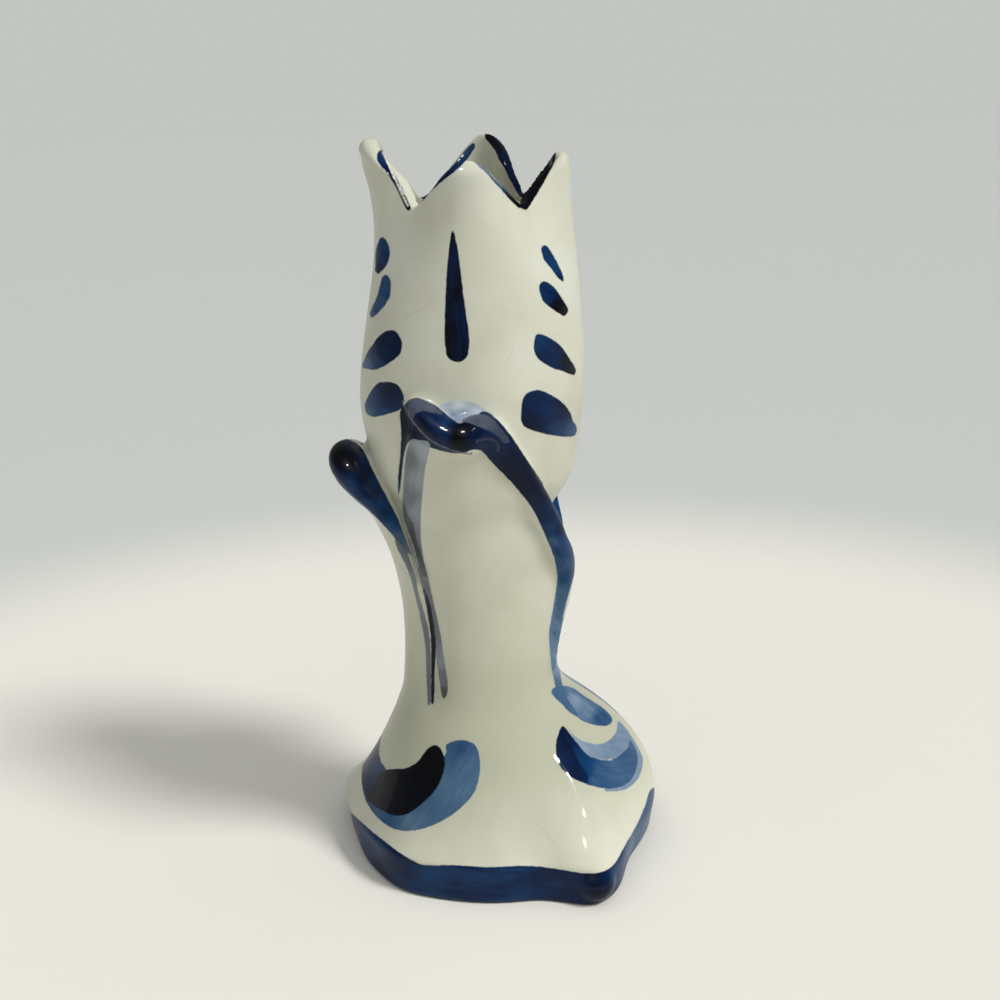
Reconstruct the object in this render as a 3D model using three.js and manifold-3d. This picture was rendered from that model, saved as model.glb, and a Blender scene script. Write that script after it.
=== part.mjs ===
// A tulip bud vase in glazed ceramic: a four-petalled cup on a hollow stem wrapped by three leaves,
// on a flared foot. Millimetres, +Z up, front towards -Y, resting on z = 0.
import * as THREE from 'three';
import { ParametricGeometry } from 'three/addons/geometries/ParametricGeometry.js';
import { mergeVertices } from 'three/addons/utils/BufferGeometryUtils.js';
import Module from 'manifold-3d';

// Joints between the luted pieces
const SLIP_GAP = 0.3;

// Stem: the hollow tube inside the leaves
const STEM_RADIUS = 13;
const STEM_TOP_RADIUS = 15.2;
const STEM_FLARE = 14;
const STEM_BORE = 9.5;
const STEM_LENGTH = 40.5;

// Foot: flared, with a band round its edge and a recess underneath
const FOOT_HEIGHT = 36;
const BAND_HEIGHT = 8.2;
const FOOT_RADIUS = 32.1;
const FOOT_SHIFT_RIGHT = 1.9;
const FOOT_SHIFT_BACK = 1.1;
const FOOT_WALL = 3;
const FOOT_FLOOR = 3;
const RECESS_DEPTH = 2.5;
const RING_WIDTH = 5;
const EDGE_RADIUS = 1.2;
const FILLET_SHARE = 0.08;
const NECK_BLEND = 7;

// Corners of the foot: where they point, how far they stand out, how wide they are on either side
const FOOT_CORNERS = [
  { azimuth: 34, reach: 8.4, before: 9, after: 15 },
  { azimuth: 112, reach: 3.6, before: 55, after: 22 },
  { azimuth: 240, reach: 5, before: 24, after: 26 },
  { azimuth: 322, reach: 1, before: 14, after: 14 },
];

// How much wider a corner gets up the flank, and how soon it fades there
const CORNER_SPREAD_SHARE = 1.4;
const CORNER_FADE = 1.25;

// How far the foot's band tucks in towards the ground, round it
const FOOT_TUCK = [
  [-180, 0.8], [-90, 1], [-60, 0], [20, 0], [45, 0.8], [62, 1.8], [76, 1.8], [95, 1.2], [180, 0.8],
];

// How full the foot's flank is round it: under 1 it sweeps out late, over 1 it bulges early
const FLANK_FULLNESS = [
  [-180, 1.3], [-125, 0.78], [-60, 0.78], [0, 0.9], [34, 0.86], [92, 2], [180, 1.3],
];

// Shoulder: how far the leaves' feet stand off the stem, more on the left than on the right
const SHOULDER = 3.9;
const SHOULDER_SWING = 1;

// Cup: radius at named heights above the cup's foot
const CUP_HEIGHT = 75;
const CUP_BOWL_RADIUS = 20.4;
const CUP_BOWL_RISE = 8;
const CUP_BELLY_RADIUS = 23.1;
const CUP_BELLY_RISE = 25;
const CUP_WAIST_RADIUS = 19.8;
const CUP_WAIST_RISE = 60;
const CUP_LIP_RADIUS = 21.1;
const CUP_WALL = 2.6;
const CUP_FLOOR = 3;

// How far the hand-cast cup leans to the right, by height above its foot
const CUP_SWAY = [[0, 0], [21, -0.6], [52, 1.1], [70, 0.2]];

// Petals: notch height above the cup's foot, depth of the fold between two petals
const NOTCH_RISE = 62.5;
const FOLD_SHARE = 0.19;
const FOLD_START = 40;
const FOLD_LIMIT_SHARE = 1.2;
const ROUNDING_SHARE = 0.3;
const TIP_EASE = 1.8;
const TIP_EASE_DEPTH = 3.5;
const PETAL_HALF_ANGLE = 45;

// Petals: how far each tip is below the highest, how hollow its flanks are, how far it leans aside
const FRONT_TIP_DROP = 3.6;
const RIGHT_TIP_DROP = 3;
const BACK_TIP_DROP = 0.6;
const PETALS = [
  { azimuth: 0, drop: FRONT_TIP_DROP, hollow: 2.1, lean: 0 },
  { azimuth: 90, drop: RIGHT_TIP_DROP, hollow: 1, lean: 4 },
  { azimuth: 180, drop: BACK_TIP_DROP, hollow: 1, lean: -11 },
  { azimuth: 270, drop: 0, hollow: 1, lean: 0 },
];

// Seams between the leaves: azimuths by share of the stem's length
const SEAM_ANGLE = 1.2;
const LEFT_SEAM = [[0, -41], [0.5, -41], [1, -48]];
const RIGHT_SEAM = [[0, 68], [0.5, 79], [1, 88]];
const BACK_SEAM = [[0, 194], [1, 194]];
const MARGIN_SHARE = 0.34;
const SEAT_DEPTH = 1;

// Heights along the leaves: a share of the stem's length, or a share of the cup's height
const onStem = (share) => FOOT_HEIGHT + SLIP_GAP + share * STEM_LENGTH;
const CUP_FOOT = FOOT_HEIGHT + STEM_LENGTH + 2 * SLIP_GAP;
const onCup = (share) => CUP_FOOT + share * CUP_HEIGHT;

// Leaves, from foot to tip. Columns: outer height, outer stand-off past the shoulder, inner height,
// inner stand-off, first margin, last margin, flare of the last margin. Stand-offs and flare are
// shares of the shoulder.
const FRONT_ROWS = [
  [onStem(0), 0, onStem(0), 0, -60, 80, 0],
  [onStem(0.26), -0.1, onStem(0.26), 0, -60, 80, 0.1],
  [onStem(0.51), 0.05, onStem(0.51), 0, -60, 78, 0.36],
  [onStem(0.74), 0.36, onStem(0.74), 0, -60, 70, 0.56],
  [onStem(0.93), 0.44, onStem(0.93), 0, -58, 50, 0.46],
  [onCup(0.053), -0.13, onCup(0.067), 0, -47, 36, 0.31],
  [onCup(0.147), -0.46, onCup(0.173), 0, -42, 23, 0.13],
  [onCup(0.213), -0.38, onCup(0.273), 0, -37, 15, 0],
  [onCup(0.253), -0.26, onCup(0.333), 0, -34, 11, 0],
  [onCup(0.287), -0.31, onCup(0.349), 0.1, -32, 9, 0],
];
const LEFT_ROWS = [
  [onStem(0), 0, onStem(0), 0, -180, -30, 0],
  [onStem(0.26), -0.21, onStem(0.26), 0, -180, -30, 0],
  [onStem(0.51), -0.15, onStem(0.51), 0, -180, -30, 0],
  [onStem(0.74), 0.23, onStem(0.74), 0, -163, -50, 0],
  [onStem(0.9), 0.56, onStem(0.9), 0, -148, -60, 0],
  [onCup(0.02), 0.87, onCup(0.027), 0, -132, -66, 0],
  [onCup(0.067), 1.03, onCup(0.093), 0, -118, -71, 0],
  [onCup(0.107), 1.13, onCup(0.16), 0, -111, -75, 0],
  [onCup(0.14), 0.97, onCup(0.2), 0.1, -106, -78, 0],
];
const BACK_ROWS = [
  [onStem(0), 0, onStem(0), 0, 50, 210, 0],
  [onStem(0.26), 0, onStem(0.26), 0, 50, 210, 0],
  [onStem(0.51), 0.15, onStem(0.51), 0, 60, 210, 0],
  [onStem(0.74), 0.44, onStem(0.74), 0, 84, 200, 0],
  [onStem(0.9), 0.67, onStem(0.9), 0, 112, 196, 0],
  [onCup(0.02), 1.08, onCup(0.027), 0, 130, 190, 0],
  [onCup(0.067), 1.23, onCup(0.093), 0, 140, 183, 0],
  [onCup(0.107), 1.28, onCup(0.16), 0, 146, 178, 0],
  [onCup(0.14), 1.13, onCup(0.2), 0.1, 150, 174, 0],
];

// Rolled margins. Columns: azimuth, height, stand-off from the stem or cup, thickness, the last two as
// shares of the shoulder
const FRONT_ROLL = [
  [-31, onCup(0.351), -0.17, 0.38],
  [-28.5, onCup(0.336), 0, 0.56],
  [-23, onCup(0.316), 0.23, 0.69],
  [-16, onCup(0.291), 0.47, 0.77],
  [-10, onCup(0.275), 0.62, 0.82],
  [-5, onCup(0.275), 0.63, 0.87],
  [0, onCup(0.285), 0.47, 0.87],
  [5, onCup(0.279), 0.32, 0.85],
  [10, onCup(0.251), 0.21, 0.79],
  [15, onCup(0.209), 0.25, 0.69],
  [21, onCup(0.16), 0.36, 0.62],
  [27, onCup(0.109), 0.49, 0.59],
  [34, onCup(0.055), 0.86, 0.59],
  [42, onStem(0.993), 1.51, 0.62],
  [49, onStem(0.889), 1.66, 0.62],
  [58, onStem(0.798), 1.62, 0.62],
  [67, onStem(0.714), 1.47, 0.59],
  [72.5, onStem(0.61), 1.31, 0.49],
  [73, onStem(0.496), 1.18, 0.38],
  [72, onStem(0.388), 1, 0.28],
  [70, onStem(0.259), 0.82, 0.21],
  [66, onStem(0.128), 0.77, 0.15],
];
const LEFT_ROLL = [
  [-47, onStem(0.684), 1.43, 0.21],
  [-55, onStem(0.869), 1.42, 0.36],
  [-62, onStem(0.98), 1.37, 0.51],
  [-69, onCup(0.039), 1.07, 0.69],
  [-75, onCup(0.084), 1.04, 0.79],
  [-81, onCup(0.145), 1.44, 0.97],
  [-89, onCup(0.164), 1.55, 0.92],
  [-99, onCup(0.156), 1.44, 0.82],
  [-109, onCup(0.119), 1.19, 0.72],
  [-122, onCup(0.059), 1.16, 0.62],
  [-138, onStem(0.98), 1.45, 0.49],
  [-156, onStem(0.807), 1.33, 0.31],
];
const BACK_ROLL = [
  [88, onStem(0.659), 1.03, 0.21],
  [102, onStem(0.832), 1.08, 0.33],
  [116, onStem(0.97), 0.96, 0.46],
  [130, onCup(0.036), 1.04, 0.62],
  [142, onCup(0.092), 1.17, 0.77],
  [152, onCup(0.14), 1.58, 0.9],
  [162, onCup(0.156), 1.7, 0.9],
  [172, onCup(0.137), 1.46, 0.82],
  [181, onCup(0.084), 1.1, 0.69],
  [187, onCup(0.02), 1.31, 0.54],
  [189, onStem(0.906), 1.39, 0.36],
  [190.5, onStem(0.733), 1.3, 0.21],
];

// How a tip's height varies across the leaf, from its first margin to its last, in shares of the
// shoulder, and where along the leaf that begins
const FRONT_LOBES = [[-1, -0.41], [-0.74, 0.41], [0.05, -0.38], [0.62, 0.1], [1, -0.62]];
const ROUND_TIP = [[-1, -0.51], [-0.4, 0.05], [0.4, 0.05], [1, -0.51]];
const TIP_START_SHARE = 0.6;

// Where the stem's axis stands on the foot, so that the foot's box is centred on the origin
const AXIS_X = -2.12;
const AXIS_Y = 0.43;

// Facets
const CUP_COLUMNS = 64;
const FOOT_COLUMNS = 72;
const STEM_SIDES = 64;
const LEAF_COLUMNS = 14;
const LEAF_STEPS = 20;
const ROLL_SIDES = 12;
const ROLL_STEPS = 2;
const FINEST = 0.03;

// Where the levels of the bodies lie, as shares of their height
const STEM_LEVELS = [0, 0.64, 0.76, 0.88, 1];
const CUP_LEVELS = [0, 0.03, 0.06, 0.1, 0.16, 0.25, 0.37, 0.5, 0.63, 0.75, 0.85, 0.93, 0.975, 1];
const CUP_INNER_LEVELS = [0.94, 0.86, 0.76, 0.62, 0.46, 0.3, 0.15, 0.07, 0.02];
const FLANK_LEVELS = [0.06, 0.14, 0.25, 0.38, 0.52, 0.66, 0.78, 0.88, 0.95, 1];
const FLANK_INNER_LEVELS = [1, 0.88, 0.74, 0.58, 0.4, 0.22, 0.1];
const BAND_LEVEL = 0.6;
const EDGE_TURNS = [30, 60];
const CORNER_WELD = 1e-3;

const GLAZE = { color: 0xe6e2d3, roughness: 0.14, metalness: 0 };
const FULL_TURN = 360;

const { lerp, clamp, degToRad, smoothstep } = THREE.MathUtils;
const wrapped = (angle) => THREE.MathUtils.euclideanModulo(angle + 180, FULL_TURN) - 180;

// A smooth curve through [x, y] stations, level with the end slopes outside them
function through(stations) {
  const slope = (a, b) => (stations[b][1] - stations[a][1]) / (stations[b][0] - stations[a][0]);
  const last = stations.length - 1;
  return (x) => {
    const at = clamp(x, stations[0][0], stations[last][0]);
    let i = 0;
    while (i < last - 1 && at > stations[i + 1][0]) i += 1;
    const [x0, y0] = stations[i];
    const [x1, y1] = stations[i + 1];
    const m0 = slope(Math.max(i - 1, 0), i + 1);
    const m1 = slope(i, Math.min(i + 2, last));
    const p = (at - x0) / (x1 - x0);
    const rise = (3 - 2 * p) * p * p;
    const bend = (x1 - x0) * p * (1 - p) * ((1 - p) * m0 - p * m1);
    return lerp(y0, y1, rise) + bend;
  };
}

const point = (azimuth, radius, height) => {
  const angle = degToRad(azimuth);
  return [radius * Math.sin(angle), -radius * Math.cos(angle), height];
};

// One closed body from a grid of points: merges equal corners and drops faces that close to a line
function closedBody(pointAt, columns, rows) {
  const grid = new ParametricGeometry(
    (u, v, target) => target.fromArray(pointAt(Math.round(u * columns), Math.round(v * rows))),
    columns, rows,
  );
  grid.deleteAttribute('normal');
  grid.deleteAttribute('uv');
  const merged = mergeVertices(grid, CORNER_WELD);
  const corners = merged.index.array;
  const kept = [];
  for (let i = 0; i < corners.length; i += 3) {
    const [a, b, c] = corners.slice(i, i + 3);
    if (a !== b && b !== c && c !== a) kept.push(a, b, c);
  }
  merged.setIndex(kept);
  merged.computeVertexNormals();
  return merged;
}

const wasm = await Module();
wasm.setup();

function solidOf(geometry) {
  return new wasm.Manifold(new wasm.Mesh({
    numProp: 3,
    vertProperties: Float32Array.from(geometry.attributes.position.array),
    triVerts: Uint32Array.from(geometry.index.array),
  }));
}

function geometryOf(solid) {
  const { vertProperties, triVerts } = solid.getMesh();
  const geometry = new THREE.BufferGeometry();
  geometry.setAttribute('position', new THREE.BufferAttribute(vertProperties, 3));
  geometry.setIndex(new THREE.BufferAttribute(triVerts, 1));
  geometry.computeVertexNormals();
  return geometry;
}

// Cup
const CUP_TOP = CUP_FOOT + CUP_HEIGHT;
const cupCurve = through([
  [0, STEM_TOP_RADIUS],
  [CUP_BOWL_RISE / 3, lerp(STEM_TOP_RADIUS, CUP_BOWL_RADIUS, 0.42)],
  [CUP_BOWL_RISE, CUP_BOWL_RADIUS],
  [CUP_BELLY_RISE, CUP_BELLY_RADIUS],
  [CUP_WAIST_RISE, CUP_WAIST_RADIUS],
  [CUP_HEIGHT, CUP_LIP_RADIUS],
]);

const swayCurve = through(CUP_SWAY);

function cupRadius(azimuth, height) {
  const rise = height - CUP_FOOT;
  const folding = clamp((rise - FOLD_START) / (NOTCH_RISE - FOLD_START), 0, FOLD_LIMIT_SHARE) ** 2;
  const fold = FOLD_SHARE * folding * Math.sin(2 * degToRad(azimuth)) ** 2;
  return cupCurve(rise) * (1 - fold) + swayCurve(rise) * Math.sin(degToRad(azimuth));
}

function petalAt(azimuth) {
  return PETALS.find((petal) => Math.abs(wrapped(azimuth - petal.azimuth)) <= PETAL_HALF_ANGLE);
}

function rimHeight(azimuth) {
  const { azimuth: middle, drop, hollow, lean } = petalAt(azimuth);
  const off = wrapped(azimuth - middle);
  const share = Math.abs(off - lean) / (off > lean ? PETAL_HALF_ANGLE - lean : PETAL_HALF_ANGLE + lean);
  const peak = Math.hypot(1, ROUNDING_SHARE);
  const climb = (peak - Math.hypot(share, ROUNDING_SHARE)) / (peak - ROUNDING_SHARE);
  return CUP_FOOT + lerp(NOTCH_RISE, CUP_HEIGHT - drop, clamp(climb, 0, 1) ** hollow);
}

// The cup's outside from its foot to the rim, grown by a clearance
function cupFlank(azimuth, clearance) {
  const rim = rimHeight(azimuth);
  return CUP_LEVELS.map((share) => {
    const height = lerp(CUP_FOOT, rim, share);
    const tip = CUP_TOP - petalAt(azimuth).drop;
    const eased = TIP_EASE * clamp(1 - (tip - height) / TIP_EASE_DEPTH, 0, 1) ** 2;
    return [cupRadius(azimuth, height) - eased + clearance, height];
  });
}

function cupLoop(azimuth) {
  const rim = rimHeight(azimuth);
  const inside = (height) => cupRadius(azimuth, height - CUP_WALL / 2) - CUP_WALL;
  const bowl = CUP_FOOT + CUP_FLOOR;
  const loop = [[STEM_BORE, CUP_FOOT], ...cupFlank(azimuth, 0)];
  loop.push([cupRadius(azimuth, rim) - CUP_WALL, rim]);
  for (const share of CUP_INNER_LEVELS) {
    const height = lerp(bowl, rim, share);
    loop.push([inside(height), height]);
  }
  loop.push([STEM_BORE, bowl], loop[0]);
  return loop;
}

// Foot
const shoulderAt = (azimuth) => SHOULDER - SHOULDER_SWING * Math.sin(degToRad(azimuth));

function roundOutline(azimuth) {
  const angle = degToRad(azimuth);
  return FOOT_RADIUS + FOOT_SHIFT_RIGHT * Math.sin(angle) - FOOT_SHIFT_BACK * Math.cos(angle);
}

const flankCurve = through(FLANK_FULLNESS);
const tuckCurve = through(FOOT_TUCK);

function footRadius(azimuth, height) {
  const top = STEM_RADIUS + shoulderAt(azimuth);
  const down = (FOOT_HEIGHT - height) / (FOOT_HEIGHT - BAND_HEIGHT);
  const eased = (down + Math.hypot(down, FILLET_SHARE)) / 2;
  const spread = Math.min(1 - Math.max(1 - eased, 0) ** flankCurve(wrapped(azimuth)), 1);
  let radius = lerp(top, roundOutline(azimuth), spread);
  for (const { azimuth: middle, reach, before, after } of FOOT_CORNERS) {
    const away = wrapped(azimuth - middle);
    const width = (away < 0 ? before : after) * (1 + CORNER_SPREAD_SHARE * (1 - spread));
    radius += reach * spread ** CORNER_FADE * Math.exp(-((away / width) ** 2));
  }
  return radius - tuckCurve(wrapped(azimuth)) * clamp(1 - height / BAND_HEIGHT, 0, 1);
}

function footLoop(azimuth) {
  const floor = RECESS_DEPTH + FOOT_FLOOR;
  const edge = footRadius(azimuth, 0);
  const inside = (height) => {
    const offset = FOOT_WALL * Math.SQRT1_2;
    const wall = footRadius(azimuth, Math.min(height + offset, FOOT_HEIGHT)) - offset;
    return lerp(STEM_BORE, wall, smoothstep(FOOT_HEIGHT - height, 0, NECK_BLEND));
  };
  const ring = roundOutline(azimuth) - EDGE_RADIUS - RING_WIDTH;
  const loop = [
    [0, RECESS_DEPTH], [ring - RECESS_DEPTH, RECESS_DEPTH], [ring, 0], [edge - EDGE_RADIUS, 0],
  ];
  for (const turn of EDGE_TURNS) {
    const angle = degToRad(turn);
    loop.push([edge - EDGE_RADIUS * (1 - Math.sin(angle)), EDGE_RADIUS * (1 - Math.cos(angle))]);
  }
  for (const height of [EDGE_RADIUS, BAND_HEIGHT * BAND_LEVEL, BAND_HEIGHT]) {
    loop.push([footRadius(azimuth, height), height]);
  }
  for (const share of FLANK_LEVELS) {
    const height = lerp(BAND_HEIGHT, FOOT_HEIGHT, share);
    loop.push([footRadius(azimuth, height), height]);
  }
  for (const share of FLANK_INNER_LEVELS) {
    const height = lerp(floor, FOOT_HEIGHT, share);
    loop.push([inside(height), height]);
  }
  loop.push([inside(floor) - FOOT_WALL, floor], [0, floor]);
  return loop;
}

// Leaves
const seamCurve = (stations) => through(stations.map(([share, azimuth]) => [onStem(share), azimuth]));
const leftSeam = seamCurve(LEFT_SEAM);
const rightSeam = seamCurve(RIGHT_SEAM);
const backSeam = seamCurve(BACK_SEAM);
const backSeamBefore = (height) => backSeam(height) - FULL_TURN;

function stemRadius(height) {
  const flare = clamp(1 - (onStem(1) - height) / STEM_FLARE, 0, 1);
  return lerp(STEM_RADIUS, STEM_TOP_RADIUS, flare * flare);
}

function coreRadius(azimuth, height) {
  return height < CUP_FOOT ? stemRadius(height) : cupRadius(azimuth, height);
}

function leafRow(rows, share) {
  const place = rows.map((row, index) => index / (rows.length - 1));
  return rows[0].map((_, column) => through(place.map((at, index) => [at, rows[index][column]]))(share));
}

// A closed section of a leaf: its outside from the first margin to the last, then its inside back
function leafSection({ rows, tip, first: firstSeam, last: lastSeam }, share) {
  const [outHeight, outOff, inHeight, inOff, first, last, flare] = leafRow(rows, share);
  const from = Math.max(first, firstSeam(outHeight)) + SEAM_ANGLE / 2;
  const to = Math.min(last, lastSeam(outHeight)) - SEAM_ANGLE / 2;
  const shaped = smoothstep(share, TIP_START_SHARE, 1);
  const outside = [];
  const inside = [];
  for (let i = 0; i <= LEAF_COLUMNS; i += 1) {
    const across = -Math.cos((Math.PI * i) / LEAF_COLUMNS);
    const azimuth = lerp(from, to, (across + 1) / 2);
    const lift = shaped * SHOULDER * through(tip)(across);
    const full = shoulderAt(azimuth) + SHOULDER * (outOff + flare * Math.max(across, 0) ** 2);
    const bulge = MARGIN_SHARE + (1 - MARGIN_SHARE) * Math.sqrt(1 - across ** 6);
    outside.push(point(azimuth, coreRadius(azimuth, outHeight) + full * bulge, outHeight + lift));
    const inner = coreRadius(azimuth, inHeight) - SEAT_DEPTH + SHOULDER * inOff;
    inside.unshift(point(azimuth, inner, inHeight + lift));
  }
  return [...outside, ...inside, outside[0]];
}

// A rolled margin: balls strung along a smooth path, each joined to the next
function rollSolid(stops) {
  const seats = stops.map(([azimuth, height, off, wide]) => [
    azimuth, coreRadius(azimuth, height) + SHOULDER * off, height, SHOULDER * wide,
  ]);
  const steps = (seats.length - 1) * ROLL_STEPS;
  const ballAt = (step) => {
    const [azimuth, radius, height, wide] = leafRow(seats, step / steps);
    return wasm.Manifold.sphere(wide, ROLL_SIDES).translate(point(azimuth, radius, height));
  };
  const links = [];
  for (let step = 0; step < steps; step += 1) {
    links.push(wasm.Manifold.hull([ballAt(step), ballAt(step + 1)]));
  }
  return wasm.Manifold.union(links);
}

function leafGeometry(leaf) {
  const sections = [];
  for (let step = 0; step <= LEAF_STEPS; step += 1) sections.push(leafSection(leaf, step / LEAF_STEPS));
  const middle = (section) => {
    const sum = section.slice(0, -1).reduce((a, b) => a.map((value, axis) => value + b[axis]), [0, 0, 0]);
    return section.map(() => sum.map((value) => value / (section.length - 1)));
  };
  sections.unshift(middle(sections[0]));
  sections.push(middle(sections[sections.length - 1]));
  const columns = sections[0].length - 1;
  const blade = closedBody((column, row) => sections[row][column], columns, sections.length - 1);
  const whole = solidOf(blade).add(rollSolid(leaf.roll)).subtract(core);
  return geometryOf(whole.simplify(FINEST));
}

// Bodies made from one closed loop per azimuth
function aroundGeometry(loopAt, columns) {
  const loops = [];
  for (let column = 0; column <= columns; column += 1) {
    const azimuth = ((column % columns) * FULL_TURN) / columns;
    loops.push(loopAt(azimuth).map(([radius, height]) => point(azimuth, radius, height)));
  }
  return closedBody((column, row) => loops[column][row], columns, loops[0].length - 1);
}

function stemFlank() {
  return STEM_LEVELS.map((share) => [stemRadius(onStem(share)), onStem(share)]);
}

// What the leaves lie against: the stem and the cup, grown by the slip gap
function coreLoop(azimuth) {
  const stem = stemFlank().map(([radius, height]) => [radius + SLIP_GAP, height]);
  const cup = cupFlank(azimuth, SLIP_GAP * Math.SQRT2);
  return [[0, 0], [STEM_RADIUS + SLIP_GAP, 0], ...stem, ...cup, [0, CUP_TOP], [0, 0]];
}

function stemGeometry() {
  const low = [STEM_BORE, onStem(0)];
  const profile = [low, ...stemFlank(), [STEM_BORE, onStem(1)], low];
  const tube = new THREE.LatheGeometry(profile.map(([r, z]) => new THREE.Vector2(r, z)), STEM_SIDES);
  tube.rotateX(Math.PI / 2);
  return tube;
}

function piece(name, geometry) {
  const mesh = new THREE.Mesh(geometry, new THREE.MeshStandardMaterial(GLAZE));
  mesh.name = name;
  return mesh;
}

const core = solidOf(aroundGeometry(coreLoop, CUP_COLUMNS));
const FRONT_LEAF = {
  rows: FRONT_ROWS, roll: FRONT_ROLL, tip: FRONT_LOBES, first: leftSeam, last: rightSeam,
};
const LEFT_LEAF = {
  rows: LEFT_ROWS, roll: LEFT_ROLL, tip: ROUND_TIP, first: backSeamBefore, last: leftSeam,
};
const BACK_LEAF = {
  rows: BACK_ROWS, roll: BACK_ROLL, tip: ROUND_TIP, first: rightSeam, last: backSeam,
};
const vase = new THREE.Group();
vase.position.set(AXIS_X, AXIS_Y, 0);
vase.add(
  piece('skirt_foot', aroundGeometry(footLoop, FOOT_COLUMNS)),
  piece('stem_tube', stemGeometry()),
  piece('tulip_cup', aroundGeometry(cupLoop, CUP_COLUMNS)),
  piece('front_leaf', leafGeometry(FRONT_LEAF)),
  piece('left_leaf', leafGeometry(LEFT_LEAF)),
  piece('back_leaf', leafGeometry(BACK_LEAF)),
);

export default vase;
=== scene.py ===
import math

import bmesh
import bpy
import numpy as np
from mathutils import Matrix, Vector
from mathutils.bvhtree import BVHTree


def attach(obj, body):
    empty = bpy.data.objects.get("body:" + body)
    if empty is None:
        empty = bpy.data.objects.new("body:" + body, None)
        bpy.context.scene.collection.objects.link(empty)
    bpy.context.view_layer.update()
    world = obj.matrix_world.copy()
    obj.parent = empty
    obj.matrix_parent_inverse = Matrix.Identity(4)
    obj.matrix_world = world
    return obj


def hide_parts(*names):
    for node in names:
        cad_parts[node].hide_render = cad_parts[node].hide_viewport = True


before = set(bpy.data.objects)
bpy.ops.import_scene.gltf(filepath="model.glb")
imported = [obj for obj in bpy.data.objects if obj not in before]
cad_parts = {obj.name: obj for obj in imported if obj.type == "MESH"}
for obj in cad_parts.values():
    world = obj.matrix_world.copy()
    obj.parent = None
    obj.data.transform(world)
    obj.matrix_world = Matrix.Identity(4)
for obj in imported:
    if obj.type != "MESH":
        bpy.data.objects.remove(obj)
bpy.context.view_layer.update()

# A tulip bud vase in glazed ceramic. Sizes here are millimetres round the stem's own axis, azimuth 0 at
# the front and growing towards the right, and are turned into metres when a mesh is made.
MM = 0.001
AXIS = np.array([-2.12, 0.43, 0.0])

# Stem and foot
STEM_RADIUS = 13.0
STEM_TOP_RADIUS = 15.2
STEM_FLARE = 14.0
STEM_BORE = 9.5
STEM_LENGTH = 40.5
SLIP_GAP = 0.3
FOOT_HEIGHT = 36.0
BAND_HEIGHT = 8.2
FOOT_RADIUS = 32.1
FOOT_SHIFT_RIGHT = 1.9
FOOT_SHIFT_BACK = 1.1
RECESS_DEPTH = 2.5
RING_WIDTH = 5.0
EDGE_RADIUS = 1.2
FILLET_SHARE = 0.08
SHOULDER = 3.9
SHOULDER_SWING = 1.0
BORE_FLOOR = 8.0

# Corners of the foot: azimuth, reach, width before and after
FOOT_CORNERS = [(34, 7.2, 10.5, 18), (112, 3.6, 55, 22), (240, 5, 24, 26), (322, 1, 14, 14)]
# The knob that ends the front corner: azimuth, radius, height, thickness
CORNER_KNOB = [(34, 36.4, 4.6, 4.0), (34, 37.3, 4.5, 4.2)]
# How far the foot tucks in under the band
FOOT_TUCK = [[-180, 0.8], [-90, 1], [-60, 0], [20, 0], [45, 0.8], [62, 1.8], [76, 1.8], [95, 1.2], [180, 0.8]]
CORNER_SPREAD = 1.4
CORNER_FADE = 1.25
FLANK_FULLNESS = [[-180, 1.3], [-125, 0.78], [-60, 0.78], [0, 0.9], [34, 0.86], [92, 2], [180, 1.3]]

# Cup
CUP_FOOT = FOOT_HEIGHT + STEM_LENGTH + 2 * SLIP_GAP
CUP_HEIGHT = 75.0
CUP_BOWL = (8.0, 20.4)
CUP_BELLY = (25.0, 23.1)
CUP_WAIST = (60.0, 19.8)
CUP_LIP_RADIUS = 21.1
CUP_WALL = 2.6
CUP_FLOOR = 3.0
CUP_SWAY = [[0, 0], [21, -0.6], [52, 1.1], [70, 0.2]]
NOTCH_RISE = 62.5
FOLD_DEPTH = 0.19
FOLD_START = 40.0
TIP_ROUNDING = 0.3
TIP_EASE = 1.8
TIP_EASE_DEPTH = 3.5
# Petals: azimuth of the middle, drop of the tip, how hollow each flank is, where the tip points
PETALS = [(0, 3.6, 1.7, 1.85, 0), (90, 3.4, 1.0, 1.9, 4), (180, 0.2, 0.5, 2.5, -13), (270, 1.0, 1.35, 1.0, 0)]
PETAL_HALF = 45.0
# Thick round tips of the side petals: azimuth, radius, height, half thickness along each
TIP_BEADS = [
    [(-107, 17.2, 146.6, 1.2), (-101, 18.3, 148.6, 1.8), (-95, 18.8, 149.9, 2.2), (-86, 18.8, 150.1, 2.2),
     (-80, 18.3, 148.8, 1.8), (-74, 17.2, 146.8, 1.2)],
    [(-91, 18.75, 149.9, 2.2), (-91, 18.6, 146.5, 1.9), (-91, 18.1, 142.5, 1.4)],
    [(79, 18.5, 143.0, 1.1), (86, 18.6, 145.0, 1.6), (93, 18.65, 146.6, 2.0), (100, 18.5, 145.4, 1.7),
     (107, 17.7, 142.6, 1.1)],
]
# The bulge of the lip between its lobes: azimuth, radius, height, half thickness
LIP_BULGE = [(-5.5, 25.5, 97.5, 3.7), (-4, 25.5, 97.5, 3.8)]


def on_stem(share):
    return FOOT_HEIGHT + SLIP_GAP + share * STEM_LENGTH


def on_cup(rise):
    return CUP_FOOT + rise


# Leaves, from foot to tip
def leaf_rows(stem_rows, cup_rows):
    """Rows of outer height, outer stand-off, inner height, inner stand-off, first margin, last margin and
    flare of the last margin. Those on the stem are given by their share of its length and lie level."""
    return ([[on_stem(share), off, on_stem(share), 0, *rest] for share, off, *rest in stem_rows]
            + [[on_cup(outer), off, on_cup(inner), *rest] for outer, off, inner, *rest in cup_rows])


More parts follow.
